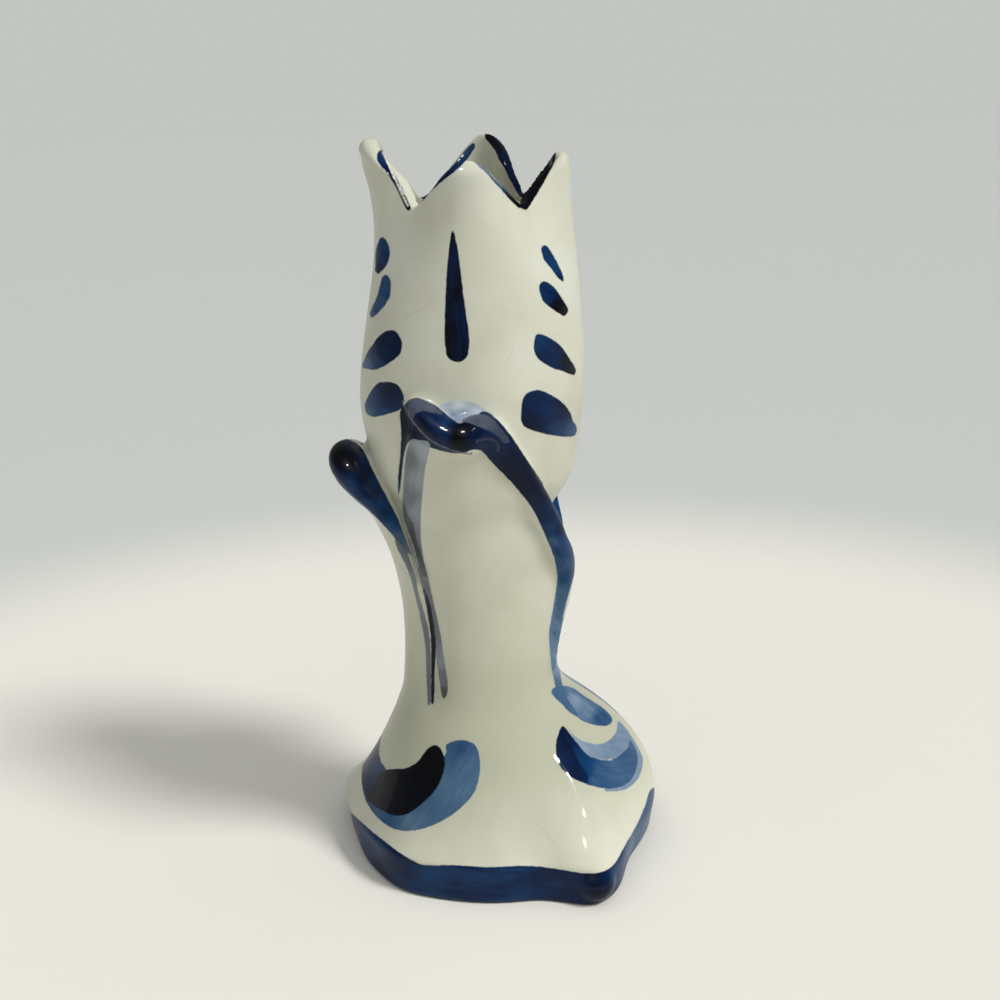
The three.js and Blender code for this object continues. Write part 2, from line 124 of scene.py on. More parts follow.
FRONT_ROWS = leaf_rows(
    [(0, 0, -60, 80, 0), (0.26, -0.4, -60, 80, 0.4), (0.51, 0.2, -60, 78, 1.4), (0.74, 1.4, -60, 70, 2.2),
     (0.93, 1.7, -58, 50, 1.8)],
    [(4, -0.5, 5, 0, -47, 36, 1.2), (11, -1.8, 13, 0, -42, 23, 0.5), (16, -1.5, 20.5, 0, -37, 15, 0),
     (19, -1.0, 25, 0, -34, 11, 0), (21.5, -1.2, 26.2, 0.4, -32, 9, 0)])
LEFT_ROWS = leaf_rows(
    [(0, 0, -180, -30, 0), (0.26, -0.8, -180, -30, 0), (0.51, -0.6, -180, -30, 0), (0.74, 0.9, -163, -50, 0),
     (0.9, 2.2, -148, -60, 0)],
    [(1.5, 3.4, 2, 0, -132, -66, 0), (5, 4.0, 7, 0, -118, -71, 0), (8, 4.4, 12, 0, -111, -75, 0),
     (10.5, 3.8, 15, 0.4, -106, -78, 0)])
BACK_ROWS = leaf_rows(
    [(0, 0, 50, 210, 0), (0.26, 0, 50, 210, 0), (0.51, 0.6, 60, 210, 0), (0.74, 1.7, 84, 200, 0),
     (0.9, 2.6, 112, 196, 0)],
    [(1.5, 4.2, 2, 0, 130, 190, 0), (5, 4.8, 7, 0, 140, 183, 0), (8, 5.0, 12, 0, 146, 178, 0),
     (10.5, 4.4, 15, 0.4, 150, 174, 0)])
# Rolled margins of the leaves: azimuth, radius, height and thickness along each roll
FRONT_ROLL = [(-31, 22.6, 103.4, 1.5), (-28.5, 23.3, 102.3, 2.2), (-23, 24.2, 100.8, 2.7), (-16, 25.0, 98.9, 3.0),
    (-10, 25.4, 97.7, 3.2), (-5, 25.4, 97.7, 3.4), (0, 24.8, 98.5, 3.4), (5, 24.1, 98.0, 3.3),
    (10, 23.0, 95.9, 3.3), (15, 22.3, 92.8, 3.2), (21, 21.8, 89.1, 3.0), (27, 21.4, 85.3, 2.9),
    (34, 21.0, 81.2, 2.8), (42, 20.6, 76.5, 2.7), (49, 20.2, 72.3, 2.6), (58, 19.6, 68.6, 2.5),
    (66, 18.9, 64.7, 2.3), (71, 18.25, 60.6, 1.9), (72.5, 17.7, 56.4, 1.5), (72, 16.9, 52, 1.1),
    (70, 16.2, 46.8, 0.8), (66, 16.0, 41.5, 0.6)]
LEFT_ROLL = [(-47, 18.6, 64, 0.8), (-55, 19.4, 71.5, 1.4), (-62, 20.3, 76, 2.0), (-69, 21.8, 80, 2.7),
    (-75, 24.0, 82.8, 3.1), (-81, 26.8, 86.8, 3.6), (-89, 27.6, 88.0, 3.4), (-99, 27.0, 87.6, 3.1),
    (-109, 25.4, 85.4, 2.8), (-122, 23.2, 81.5, 2.4), (-138, 20.6, 76, 1.9), (-156, 18.6, 69, 1.2)]
BACK_ROLL = [(88, 16.8, 63, 0.8), (102, 17.2, 70, 1.2), (116, 17.4, 75.6, 1.5), (130, 19.9, 79.8, 2.1),
    (142, 23.7, 84, 2.8), (152, 27.0, 87.6, 3.5), (162, 27.8, 88.8, 3.5), (172, 26.6, 87.4, 3.2),
    (181, 24.0, 83.4, 2.7), (187, 21.6, 78.6, 2.1), (189, 19.6, 73, 1.4), (190.5, 18.2, 66, 0.8)]
FRONT_LOBES = [[-1, -1.6], [-0.74, 1.6], [0.05, -1.5], [0.62, 0.4], [1, -2.4]]
ROUND_TIP = [[-1, -2], [-0.4, 0.2], [0.4, 0.2], [1, -2]]
TIP_START = 0.6
SEAM_WIDTH = 0.5
LEFT_SEAM = (-41, -41, -48)
RIGHT_SEAM = (68, 79, 88)
BACK_SEAM = (194, 194, 194)
MARGIN_EDGE = 0.34
SEAT_DEPTH = 1.2

# Fineness of the bodies
CUP_COLUMNS, FOOT_COLUMNS, STEM_COLUMNS = 720, 540, 128
CUP_ROWS, CUP_INNER_ROWS, STEM_ROWS, FOOT_ROWS = 96, 80, 30, 90
LEAF_COLUMNS, LEAF_STEPS = 44, 150
ROLL_STEP = 0.5
BALL_COLUMNS, BALL_ROWS = 20, 13
# The glazed surface: its fineness, the rounds and shares that even, calm and fill it, and its shell
WELD = 1e-7
TINY = 1e-9
VOXEL = 0.42
EVEN_SHARES = (0.6, -0.62)
EVEN_ROUNDS = 9
CALM_SHARE = 0.5
CALM_ROUNDS = 220
FILL_ROUNDS = 44
FILL_OUT = 0.75
FILL_IN = 0.04
NORMALS_EVERY = 4
LAST_SHARES = (0.5, -0.45)
LAST_ROUNDS = 2
POOL_AND_SHADE_ROUNDS = 6
SHELL = 1.2
# How far the bodies reach into each other, so that they melt together
OVERLAP = 1
CUP_SINK = 0.4
STEM_SINK = 3
STEM_SPARE = 0.2
FOOT_SPARE = 0.6
# The cup's bottom is rounded between these heights over its floor
BOWL_ROUNDING = (-3, 6)
# The front leaf's calmed face: heights, azimuth either way, radii, clear of the margin, clear of the left leaf
FACE_HEIGHTS = (33, 97)
FACE_AZIMUTH = 75
FACE_RADII = (14, 26)
FACE_CLEAR = (1.2, 4)
FACE_START = (-36, -28)
# Where the leaves run out on the foot: height, and how far from it the calm ends and is whole
RUN_OUT_HEIGHT = 36.3
RUN_OUT_FADE = (3.4, 1.6)


def through(stations):
    """A smooth curve through [x, y] stations, the same one that shapes the solids."""
    xs, ys = np.array(stations, float).T
    at = np.arange(len(xs))
    behind, ahead = np.maximum(at - 1, 0), np.minimum(at + 1, at[-1])
    slopes = (ys[ahead] - ys[behind]) / (xs[ahead] - xs[behind])

    def curve(x):
        x = np.clip(x, xs[0], xs[-1])
        i = np.clip(np.searchsorted(xs, x, side="right") - 1, 0, len(xs) - 2)
        x0, x1, y0, y1 = xs[i], xs[i + 1], ys[i], ys[i + 1]
        p = (x - x0) / (x1 - x0)
        bend = (x1 - x0) * p * (1 - p) * ((1 - p) * slopes[i] - p * slopes[i + 1])
        return y0 + (y1 - y0) * (3 - 2 * p) * p * p + bend

    return curve


def wrapped(angle):
    return (np.asarray(angle, float) + 180) % 360 - 180


def smoothstep(x, a, b):
    t = np.clip((x - a) / (b - a), 0, 1)
    return t * t * (3 - 2 * t)


def between(x, bounds):
    return (x > bounds[0]) & (x < bounds[1])


def lerp(a, b, t):
    return a + (b - a) * t


def place(azimuth, radius, height):
    angle = np.radians(azimuth)
    return np.stack(np.broadcast_arrays(radius * np.sin(angle), -radius * np.cos(angle), height), -1)


def azimuth_of(points):
    return np.degrees(np.arctan2(points[:, 0], -points[:, 1]))


def lengths(vectors):
    return np.linalg.norm(vectors, axis=1)


cup_curve = through([
    [0, STEM_TOP_RADIUS], [CUP_BOWL[0] / 3, lerp(STEM_TOP_RADIUS, CUP_BOWL[1], 0.42)],
    CUP_BOWL, CUP_BELLY, CUP_WAIST, [CUP_HEIGHT, CUP_LIP_RADIUS],
])
sway_curve = through(CUP_SWAY)
flank_curve = through(FLANK_FULLNESS)
tuck_curve = through(FOOT_TUCK)


def cup_radius(azimuth, height):
    rise = height - CUP_FOOT
    folding = np.clip((rise - FOLD_START) / (NOTCH_RISE - FOLD_START), 0, 1.2) ** 2
    fold = FOLD_DEPTH * folding * np.sin(2 * np.radians(azimuth)) ** 2
    return cup_curve(rise) * (1 - fold) + sway_curve(rise) * np.sin(np.radians(azimuth))


def rim(azimuth):
    """Height of the rim and of the petal's tip at an azimuth, and the share of the way to the notch."""
    height, tips, shares = np.zeros((3, *np.shape(azimuth)))
    peak = math.hypot(1, TIP_ROUNDING)
    for middle, drop, before, after, lean in PETALS:
        off = wrapped(azimuth - middle)
        mine = np.abs(off) <= PETAL_HALF
        share = np.abs(off - lean) / np.where(off > lean, PETAL_HALF - lean, PETAL_HALF + lean)
        climb = (peak - np.hypot(share, TIP_ROUNDING)) / (peak - TIP_ROUNDING)
        climb = np.clip(climb, 0, 1) ** np.where(off > lean, after, before)
        height = np.where(mine, CUP_FOOT + lerp(NOTCH_RISE, CUP_HEIGHT - drop, climb), height)
        tips = np.where(mine, CUP_FOOT + CUP_HEIGHT - drop, tips)
        shares = np.where(mine, share, shares)
    return height, tips, shares


def shoulder_at(azimuth):
    return SHOULDER - SHOULDER_SWING * np.sin(np.radians(azimuth))


def round_outline(azimuth):
    angle = np.radians(azimuth)
    return FOOT_RADIUS + FOOT_SHIFT_RIGHT * np.sin(angle) - FOOT_SHIFT_BACK * np.cos(angle)


def foot_radius(azimuth, height):
    top = STEM_RADIUS + shoulder_at(azimuth)
    down = (FOOT_HEIGHT - height) / (FOOT_HEIGHT - BAND_HEIGHT)
    eased = (down + np.hypot(down, FILLET_SHARE)) / 2
    spread = 1 - np.maximum(1 - eased, 0) ** flank_curve(wrapped(azimuth)) + np.maximum(eased - 1, 0)
    spread = np.minimum(spread, 1)
    radius = lerp(top, round_outline(azimuth), spread)
    for middle, reach, before, after in FOOT_CORNERS:
        away = wrapped(azimuth - middle)
        width = np.where(away < 0, before, after) * (1 + CORNER_SPREAD * (1 - spread))
        radius = radius + reach * spread**CORNER_FADE * np.exp(-((away / width) ** 2))
    return radius - tuck_curve(wrapped(azimuth)) * np.clip(1 - height / BAND_HEIGHT, 0, 1)


def stem_radius(height):
    flare = np.clip(1 - (on_stem(1) - height) / STEM_FLARE, 0, 1)
    return lerp(STEM_RADIUS, STEM_TOP_RADIUS, flare * flare)


def core_radius(azimuth, height):
    return np.where(height < CUP_FOOT, stem_radius(height), cup_radius(azimuth, height))


def seam(stations, turn=0):
    curve = through(list(zip((on_stem(0), on_stem(0.5), on_stem(1)), stations)))
    return lambda height: curve(height) + turn


left_seam, right_seam, back_seam = seam(LEFT_SEAM), seam(RIGHT_SEAM), seam(BACK_SEAM)
back_seam_before = seam(BACK_SEAM, -360)


# Closed bodies, as (points, quads)
def grid_body(points, round_columns):
    """points[column][row]; the columns close round the axis or the rows close round a section."""
    at = np.arange(points.size // 3).reshape(points.shape[:2])
    ahead = np.roll(at, -1, 0 if round_columns else 1)
    low, high = (np.s_[:, :-1], np.s_[:, 1:]) if round_columns else (np.s_[:-1], np.s_[1:])
    faces = np.stack([at[low], ahead[low], ahead[high], at[high]], -1)
    return points.reshape(-1, 3), faces.reshape(-1, 4)


def around(loop_at, columns):
    azimuth = np.arange(columns) * 360 / columns
    radius, height = (np.stack([np.broadcast_to(value, azimuth.shape) for value in values], 1)
                      for values in zip(*loop_at(azimuth)))
    return grid_body(place(azimuth[:, None], radius, height), True)


def cup_loops(azimuth):
    top, tip, _ = rim(azimuth)
    loops = [(STEM_BORE, CUP_FOOT - OVERLAP)]
    for share in np.linspace(0, 1, CUP_ROWS):
        height = lerp(CUP_FOOT - CUP_SINK, top, share)
        eased = TIP_EASE * np.clip(1 - (tip - height) / TIP_EASE_DEPTH, 0, 1) ** 2
        loops.append((cup_radius(azimuth, height) - eased, height))
    outer = loops[-1][0]
    inner = cup_radius(azimuth, top) - CUP_WALL
    loops += [(lerp(outer, inner, share), top) for share in (0.2, 0.4, 0.6, 0.8, 1)]
    bowl = CUP_FOOT + CUP_FLOOR
    for share in np.linspace(0.99, 0.01, CUP_INNER_ROWS):
        height = lerp(bowl, top, share)
        wall = cup_radius(azimuth, height - CUP_WALL / 2) - CUP_WALL
        loops.append((lerp(STEM_BORE, wall, smoothstep(height, *(bowl + end for end in BOWL_ROUNDING))), height))
    return loops + [(STEM_BORE, bowl - OVERLAP), (STEM_BORE, CUP_FOOT - OVERLAP)]


def stem_loops(azimuth):
    rows = np.linspace(FOOT_HEIGHT - STEM_SINK, CUP_FOOT + OVERLAP, STEM_ROWS)
    return ([(STEM_BORE, rows[0])] + [(stem_radius(height) + STEM_SPARE, height) for height in rows]
            + [(STEM_BORE, height) for height in rows[::-1]])


def foot_loops(azimuth):
    edge = foot_radius(azimuth, 0.0)
    ring = round_outline(azimuth) - EDGE_RADIUS - RING_WIDTH
    top = FOOT_HEIGHT + FOOT_SPARE
    loops = [(0, RECESS_DEPTH), (ring - RECESS_DEPTH, RECESS_DEPTH), (ring, 0)]
    for turn in np.radians(np.arange(0, 90, 15)):
        loops.append((edge - EDGE_RADIUS * (1 - math.sin(turn)), EDGE_RADIUS * (1 - math.cos(turn))))
    loops += [(foot_radius(azimuth, height), height) for height in np.linspace(EDGE_RADIUS, top, FOOT_ROWS)]
    return loops + [(STEM_BORE, top), (STEM_BORE, BORE_FLOOR), (0, BORE_FLOOR)]


def leaf_body(rows, tip, first_seam, last_seam):
    rows = np.array(rows, float)
    at = np.linspace(0, 1, len(rows))
    curves = [through(np.stack([at, column], 1)) for column in rows.T]
    tip_curve = through(tip)
    across = -np.cos(np.pi * np.arange(LEAF_COLUMNS + 1) / LEAF_COLUMNS)
    sections = []
    for share in np.linspace(0, 1, LEAF_STEPS + 1):
        out_z, out_off, in_z, in_off, first, last, flare = [float(curve(share)) for curve in curves]
        start = max(first, float(first_seam(out_z))) + SEAM_WIDTH / 2
        end = min(last, float(last_seam(out_z))) - SEAM_WIDTH / 2
        azimuth = lerp(start, end, (across + 1) / 2)
        lift = smoothstep(share, TIP_START, 1) * tip_curve(across)
        full = shoulder_at(azimuth) + out_off + flare * np.maximum(across, 0) ** 2
        bulge = MARGIN_EDGE + (1 - MARGIN_EDGE) * np.sqrt(1 - across**6)
        if share == 0:
            out_z -= SEAT_DEPTH
            in_z -= SEAT_DEPTH
        outside = place(azimuth, core_radius(azimuth, out_z) + full * bulge, out_z + lift)
        inside = place(azimuth, core_radius(azimuth, in_z) - SEAT_DEPTH + in_off, in_z + lift)
        sections.append(np.concatenate([outside, inside[::-1]]))
    middles = [np.repeat(s.mean(0)[None], len(s), 0) for s in (sections[0], sections[-1])]
    return grid_body(np.stack([middles[0], *sections, middles[1]]), False)


def roll_body(stops):
    """A rolled margin: round sections strung closely along a smooth path, the ends round too."""
    stops = np.array(stops, float)
    seats = place(*stops[:, :3].T)
    at = np.concatenate([[0], np.cumsum(lengths(np.diff(seats, axis=0)))])
    fine = np.linspace(0, at[-1], max(int(at[-1] / ROLL_STEP), 2))
    *path, wide = (through(np.stack([at, column], 1))(fine) for column in (*seats.T, stops[:, 3]))
    turns, tilts = np.arange(BALL_COLUMNS) * 360 / BALL_COLUMNS, np.radians(np.linspace(-90, 90, BALL_ROWS))
    ball_points, ball_faces = grid_body(place(turns[:, None], np.cos(tilts)[None], np.sin(tilts)[None]), True)
    points = np.stack(path, 1)[:, None] + ball_points[None] * wide[:, None, None]
    faces = np.arange(len(fine))[:, None, None] * len(ball_points) + ball_faces[None]
    return points.reshape(-1, 3), faces.reshape(-1, 4)


def joined(*bodies):
    sizes = np.cumsum([0] + [len(points) for points, _ in bodies[:-1]])
    return (np.concatenate([points for points, _ in bodies]),
            np.concatenate([faces + start for (_, faces), start in zip(bodies, sizes)]))


BODIES = {
    "skirt_foot": joined(around(foot_loops, FOOT_COLUMNS), roll_body(CORNER_KNOB)),
    "stem_tube": around(stem_loops, STEM_COLUMNS),
    "tulip_cup": joined(around(cup_loops, CUP_COLUMNS), *(roll_body(bead) for bead in TIP_BEADS)),
    "front_leaf": joined(leaf_body(FRONT_ROWS, FRONT_LOBES, left_seam, right_seam), roll_body(FRONT_ROLL),
                         roll_body(LIP_BULGE)),
    "left_leaf": joined(leaf_body(LEFT_ROWS, ROUND_TIP, back_seam_before, left_seam), roll_body(LEFT_ROLL)),
    "back_leaf": joined(leaf_body(BACK_ROWS, ROUND_TIP, right_seam, back_seam), roll_body(BACK_ROLL)),
}
NAMES = list(BODIES)


def make_mesh(name, points, faces):
    """A mesh of quads in metres."""
    mesh = bpy.data.meshes.new(name)
    mesh.vertices.add(len(points))
    mesh.vertices.foreach_set("co", ((points + AXIS) * MM).astype(np.float32).ravel())
    mesh.loops.add(faces.size)
    mesh.loops.foreach_set("vertex_index", faces.astype(np.int32).ravel())
    mesh.polygons.add(len(faces))
    mesh.polygons.foreach_set("loop_start", np.arange(0, faces.size, 4, dtype=np.int32))
    mesh.polygons.foreach_set("loop_total", np.full(len(faces), 4, np.int32))
    mesh.update(calc_edges=True)
    return mesh


def add_object(name, data):
    thing = bpy.data.objects.new(name, data)
    bpy.context.scene.collection.objects.link(thing)
    return thing


def glazed_surface():
    """All bodies melted together under the glaze: points and quads of one closed skin."""
    mesh = make_mesh("melt", *joined(*BODIES.values()))
    melt = bmesh.new()
    melt.from_mesh(mesh)
    bmesh.ops.remove_doubles(melt, verts=melt.verts, dist=WELD)
    bmesh.ops.recalc_face_normals(melt, faces=melt.faces)
    melt.to_mesh(mesh)
    melt.free()
    source = add_object("melt", mesh)
    remesh = source.modifiers.new("skin", "REMESH")
    remesh.mode = "VOXEL"
    remesh.voxel_size = VOXEL * MM
    skin = source.evaluated_get(bpy.context.evaluated_depsgraph_get()).to_mesh()
    points = np.empty(len(skin.vertices) * 3, np.float32)
    skin.vertices.foreach_get("co", points)
    corners = np.empty(len(skin.loops), np.int32)
    skin.loops.foreach_get("vertex_index", corners)
    bpy.data.objects.remove(source)
    return points.reshape(-1, 3).astype(float) / MM - AXIS, corners.reshape(-1, 4)


def sides_of(faces):
    """The two ends of each side of each quad."""
    return np.concatenate([faces[:, [k, (k + 1) % 4]] for k in range(4)])


def edges_of(faces):
    pairs = np.sort(sides_of(faces), 1)
    size = faces.max() + 1
    keys = np.unique(pairs[:, 0].astype(np.int64) * size + pairs[:, 1])
    return np.stack([keys // size, keys % size], 1)


def normals_of(points, faces):
    a, b, c, d = (points[faces[:, k]] for k in range(4))
    face = np.cross(c - a, d - b)
    total = np.zeros_like(points)
    for k in range(4):
        for axis in range(3):
            total[:, axis] += np.bincount(faces[:, k], face[:, axis], len(points))
    return total / np.maximum(lengths(total), TINY)[:, None]


def averaging(edges, size):
    """A function that gives each of size points the average of its neighbours' values."""
    a, b = edges.T
    count = np.bincount(edges.ravel(), minlength=size).astype(float)[:, None]

    def average(values):
        out = np.empty_like(values)
        for axis in range(values.shape[1]):
            out[:, axis] = np.bincount(a, values[b, axis], size) + np.bincount(b, values[a, axis], size)
        return out / count

    return average


def drawn(points, average, shares):
    """The points drawn towards their neighbours by each share in turn, or pushed away where it is negative."""
    for share in shares:
        points = points + share * (average(points) - points)
    return points


def calmed(points, edges, share):
    """The points drawn evenly towards their neighbours, each by its share."""
    edges = edges[(share > 0)[edges].any(1)]
    used, back = np.unique(edges, return_inverse=True)
    average = averaging(back.reshape(-1, 2), len(used))
    points = points.copy()
    points[used] = drawn(points[used], average, [CALM_SHARE * share[used][:, None]] * CALM_ROUNDS)
    return points


def distances(points, chosen, body, otherwise):
    """How far the chosen points lie from a body, and another value for the others."""
    tree = BVHTree.FromPolygons(body[0].tolist(), body[1].tolist())
    far = np.full(len(points), float(otherwise))
    for i in np.nonzero(chosen)[0]:
        far[i] = tree.find_nearest(points[i])[3]
    return far


def plain_areas(points):
    """1 on the front leaf's face and where the leaves run out on the foot, 0 on what has an edge."""
    height, azimuth, out = points[:, 2], azimuth_of(points), np.hypot(points[:, 0], points[:, 1])
    face = (between(height, FACE_HEIGHTS) & between(azimuth, (-FACE_AZIMUTH, FACE_AZIMUTH))
            & between(out, FACE_RADII))
    share = smoothstep(distances(points, face, roll_body(FRONT_ROLL), 0), *FACE_CLEAR)
    share *= smoothstep(azimuth, *FACE_START)
    return np.maximum(share, (out > FACE_RADII[0]) * smoothstep(np.abs(height - RUN_OUT_HEIGHT), *RUN_OUT_FADE))


def settle(points, faces, edges):
    """Evens the skin out, then lets the glaze pool in the hollows; also how deep it stands there, which darkens
    the hollows' colour as pooled glaze and painted shade.
    """
    average = averaging(edges, len(points))
    points = drawn(points, average, EVEN_SHARES * EVEN_ROUNDS)
    bare = points = calmed(points, edges, plain_areas(points))
    for turn in range(FILL_ROUNDS):
        if turn % NORMALS_EVERY == 0:
            normals = normals_of(points, faces)
        out = ((average(points) - points) * normals).sum(1)
        points = points + normals * (FILL_OUT * np.maximum(out, 0) + FILL_IN * np.minimum(out, 0))[:, None]
    points = drawn(points, average, LAST_SHARES * LAST_ROUNDS)
    return points, lengths(points - bare)


skin_points, skin_faces = glazed_surface()
skin_edges = edges_of(skin_faces)
skin_points, pool_and_shade_depth = settle(skin_points, skin_faces, skin_edges)
skin_normals = normals_of(skin_points, skin_faces)
skin_tree = BVHTree.FromPolygons(skin_points.tolist(), skin_faces.tolist())
skin_average = averaging(skin_edges, len(skin_points))
heights = skin_points[:, 2]
azimuths = azimuth_of(skin_points)
radii = np.hypot(skin_points[:, 0], skin_points[:, 1])


def softened(values, rounds):
    for _ in range(rounds):
        values = 0.5 * values + 0.5 * skin_average(values[:, None])[:, 0]
    return values


pool_and_shade_depth = softened(pool_and_shade_depth, POOL_AND_SHADE_ROUNDS)

# How far each point of the skin lies from each body that can show there, and the body that it belongs to
NOWHERE_NEAR = 50.0
REACH = {
    "skirt_foot": (-5, 42), "stem_tube": (30, 84), "tulip_cup": (70, 160),
    "front_leaf": (33, 109), "left_leaf": (33, 98), "back_leaf": (33, 98),
}
NEAR = {name: distances(skin_points, between(heights, REACH[name]), BODIES[name], NOWHERE_NEAR)
        for name in NAMES}
label = np.argmin(np.stack([NEAR[name] for name in NAMES]), 0)

# Paint: layers over each other, each a distance to the edge of its strokes (negative inside), a tone, how
# mottled it is, and the place along and across the stroke
FAR = 9.0
# Strokes: length of a step along the path, shortest way between two stops, reach of the paint beyond the path,
# points of the skin at a time
STROKE_STEP = 0.35
SHORTEST_STEP = 1e-3
STROKE_MARGIN = 4
STROKE_PART = 4000
# Patches: steps between two points of an outline, reach in pixels, points of the skin at a time, how softly the
# tone marks blend, and what sets the noise of one patch apart from the next
OUTLINE_STEPS = 6
PATCH_MARGIN = 16
PATCH_PART = 3000
MARK_SOFTNESS = 4
MARK_FADE = 1.5
SEED_SHARE = 0.37
# Radius from which a ray looks for the skin, and of the point that stands in where it finds none
RAY_START = 70.0
MISSED_RADIUS = 20.0
EVERYWHERE = np.arange(len(skin_points))
LAYERS = ("wash", "blue", "ink", "lift", "top")
paint = {layer: {"edge": np.full(len(skin_points), FAR), "tone": np.full(len(skin_points), 0.5),
                 "mottle": np.ones(len(skin_points)), "run": np.zeros((len(skin_points), 3))}
         for layer in LAYERS}


def lay(layer, points, edge, tone, run, mottle=None):
    """Paints those points of the skin whose distance to the edge is less than the layer's own."""
    target = paint[layer]
    better = edge < target["edge"][points]
    kept = points[better]
    target["edge"][kept] = edge[better]
    target["tone"][kept] = np.broadcast_to(tone, edge.shape)[better]
    target["run"][kept, :run.shape[1]] = run[better]
    if mottle is not None:
        target["mottle"][kept] = mottle


def parts(chosen, size):
    """The numbers of the chosen points of the skin, about size of them at a time."""
    near = np.nonzero(chosen)[0]
    return np.array_split(near, len(near) // size + 1) if len(near) else []


def seat(azimuth, height, radius=None):
    """A point at a radius, or else the point of the skin that shows from outside."""
    if radius is not None:
        return place(azimuth, radius, height)
    start = place(azimuth, RAY_START, height)
    hit = skin_tree.ray_cast(Vector(start), Vector(place(azimuth, -1.0, 0.0)))
    return np.array(hit[0]) if hit[0] else place(azimuth, MISSED_RADIUS, height)


def stroke(layer, stops, tones, within=None):
    """A brush stroke through (azimuth, height, half width[, radius]) stops, tones from its first end to
    its last. within is a field that is negative where the stroke may lie."""
    seats = [seat(az, z, *radius) for az, z, _, *radius in stops]
    at = np.concatenate([[0], np.cumsum(np.maximum(lengths(np.diff(seats, axis=0)), SHORTEST_STEP))])
    fine = np.linspace(0, at[-1], max(int(at[-1] / STROKE_STEP), 2) + 1)
    values = [through(np.stack([at, column], 1))(fine) for column in zip(*stops)]
    path, wide = np.array([seat(az, z, *radius) for az, z, _, *radius in zip(*values)]), values[2]
    tone = through(np.stack([np.linspace(0, 1, len(tones)), tones], 1))(fine / fine[-1])
    reach = wide.max() + STROKE_MARGIN
    ahead = np.gradient(path, axis=0)
    ahead /= np.maximum(lengths(ahead), TINY)[:, None]
    inside = (skin_points > path.min(0) - reach) & (skin_points < path.max(0) + reach)
    for part in parts(inside.all(1), STROKE_PART):
        to = skin_points[part][:, None] - path[None]
        far = np.linalg.norm(to, axis=2) - wide[None]
        best = far.argmin(1)
        edge, off, way = far.min(1), to[np.arange(len(part)), best], ahead[best]
        run = np.stack([(off * np.cross(way, skin_normals[part])).sum(1), fine[best] + (off * way).sum(1),
                        np.full(len(part), stops[0][0] + stops[0][1])], 1)
        lay(layer, part, edge if within is None else np.maximum(edge, within[part]), tone[best], run)


# The photograph's viewpoint
VIEW_FROM = np.array([0.0, -293.437, 163.752])
YAW, PITCH, ROLL = (math.radians(v) for v in (0.8668, 16.4, -1.8546))
FOCAL_PIXELS = 1450
PICTURE_MIDDLE = 500
forward = np.array([math.sin(YAW) * math.cos(PITCH), math.cos(YAW) * math.cos(PITCH), -math.sin(PITCH)])
right = np.array([math.cos(YAW), -math.sin(YAW), 0.0])
up = np.cross(right, forward)
right, up = (math.cos(ROLL) * right + math.sin(ROLL) * up, math.cos(ROLL) * up - math.sin(ROLL) * right)

# Where the viewpoint sees each point of the skin, in pixels of the photograph, and whether it does
GRAZING = 0.06
SIGHT_SLACK = 0.9
away = skin_points - VIEW_FROM
depth = away @ forward
picture = PICTURE_MIDDLE + FOCAL_PIXELS * np.stack([away @ right, -(away @ up)], 1) / depth[:, None]
reach = lengths(away)
seen = (skin_normals * away).sum(1) < GRAZING * reach
for i in np.nonzero(seen)[0]:
    hit = skin_tree.ray_cast(Vector(VIEW_FROM), Vector(away[i] / reach[i]))
    seen[i] = hit[0] is None or hit[3] > reach[i] - SIGHT_SLACK
# Two fields about as steep as a distance in millimetres: unseen is negative where the viewpoint doesn't see the
# skin, and out_of_sight where it does. Patches are looked for where out_of_sight is less than HIDDEN
UNSEEN_BELOW = 0.72
SIGHT_ABOVE = 0.3
SIGHT_SLOPE = 3
UNSEEN_ROUNDS, SIGHT_ROUNDS = 5, 8
HIDDEN = 0.5
unseen = (softened(seen.astype(float), UNSEEN_ROUNDS) - UNSEEN_BELOW) * SIGHT_SLOPE
out_of_sight = (SIGHT_ABOVE - softened(seen.astype(float), SIGHT_ROUNDS)) * SIGHT_SLOPE


def rounded(outline):
    """A closed outline, smooth through its points."""
    points = np.array(outline, float)
    before, ahead, beyond = (np.roll(points, shift, 0) for shift in (1, -1, -2))
    square = 2 * before - 5 * points + 4 * ahead - beyond
    cube = 3 * points - before - 3 * ahead + beyond
    rows = [0.5 * (2 * points + (ahead - before) * t + square * t**2 + cube * t**3)
            for t in np.arange(OUTLINE_STEPS) / OUTLINE_STEPS]
    return np.stack(rows, 1).reshape(-1, 2)


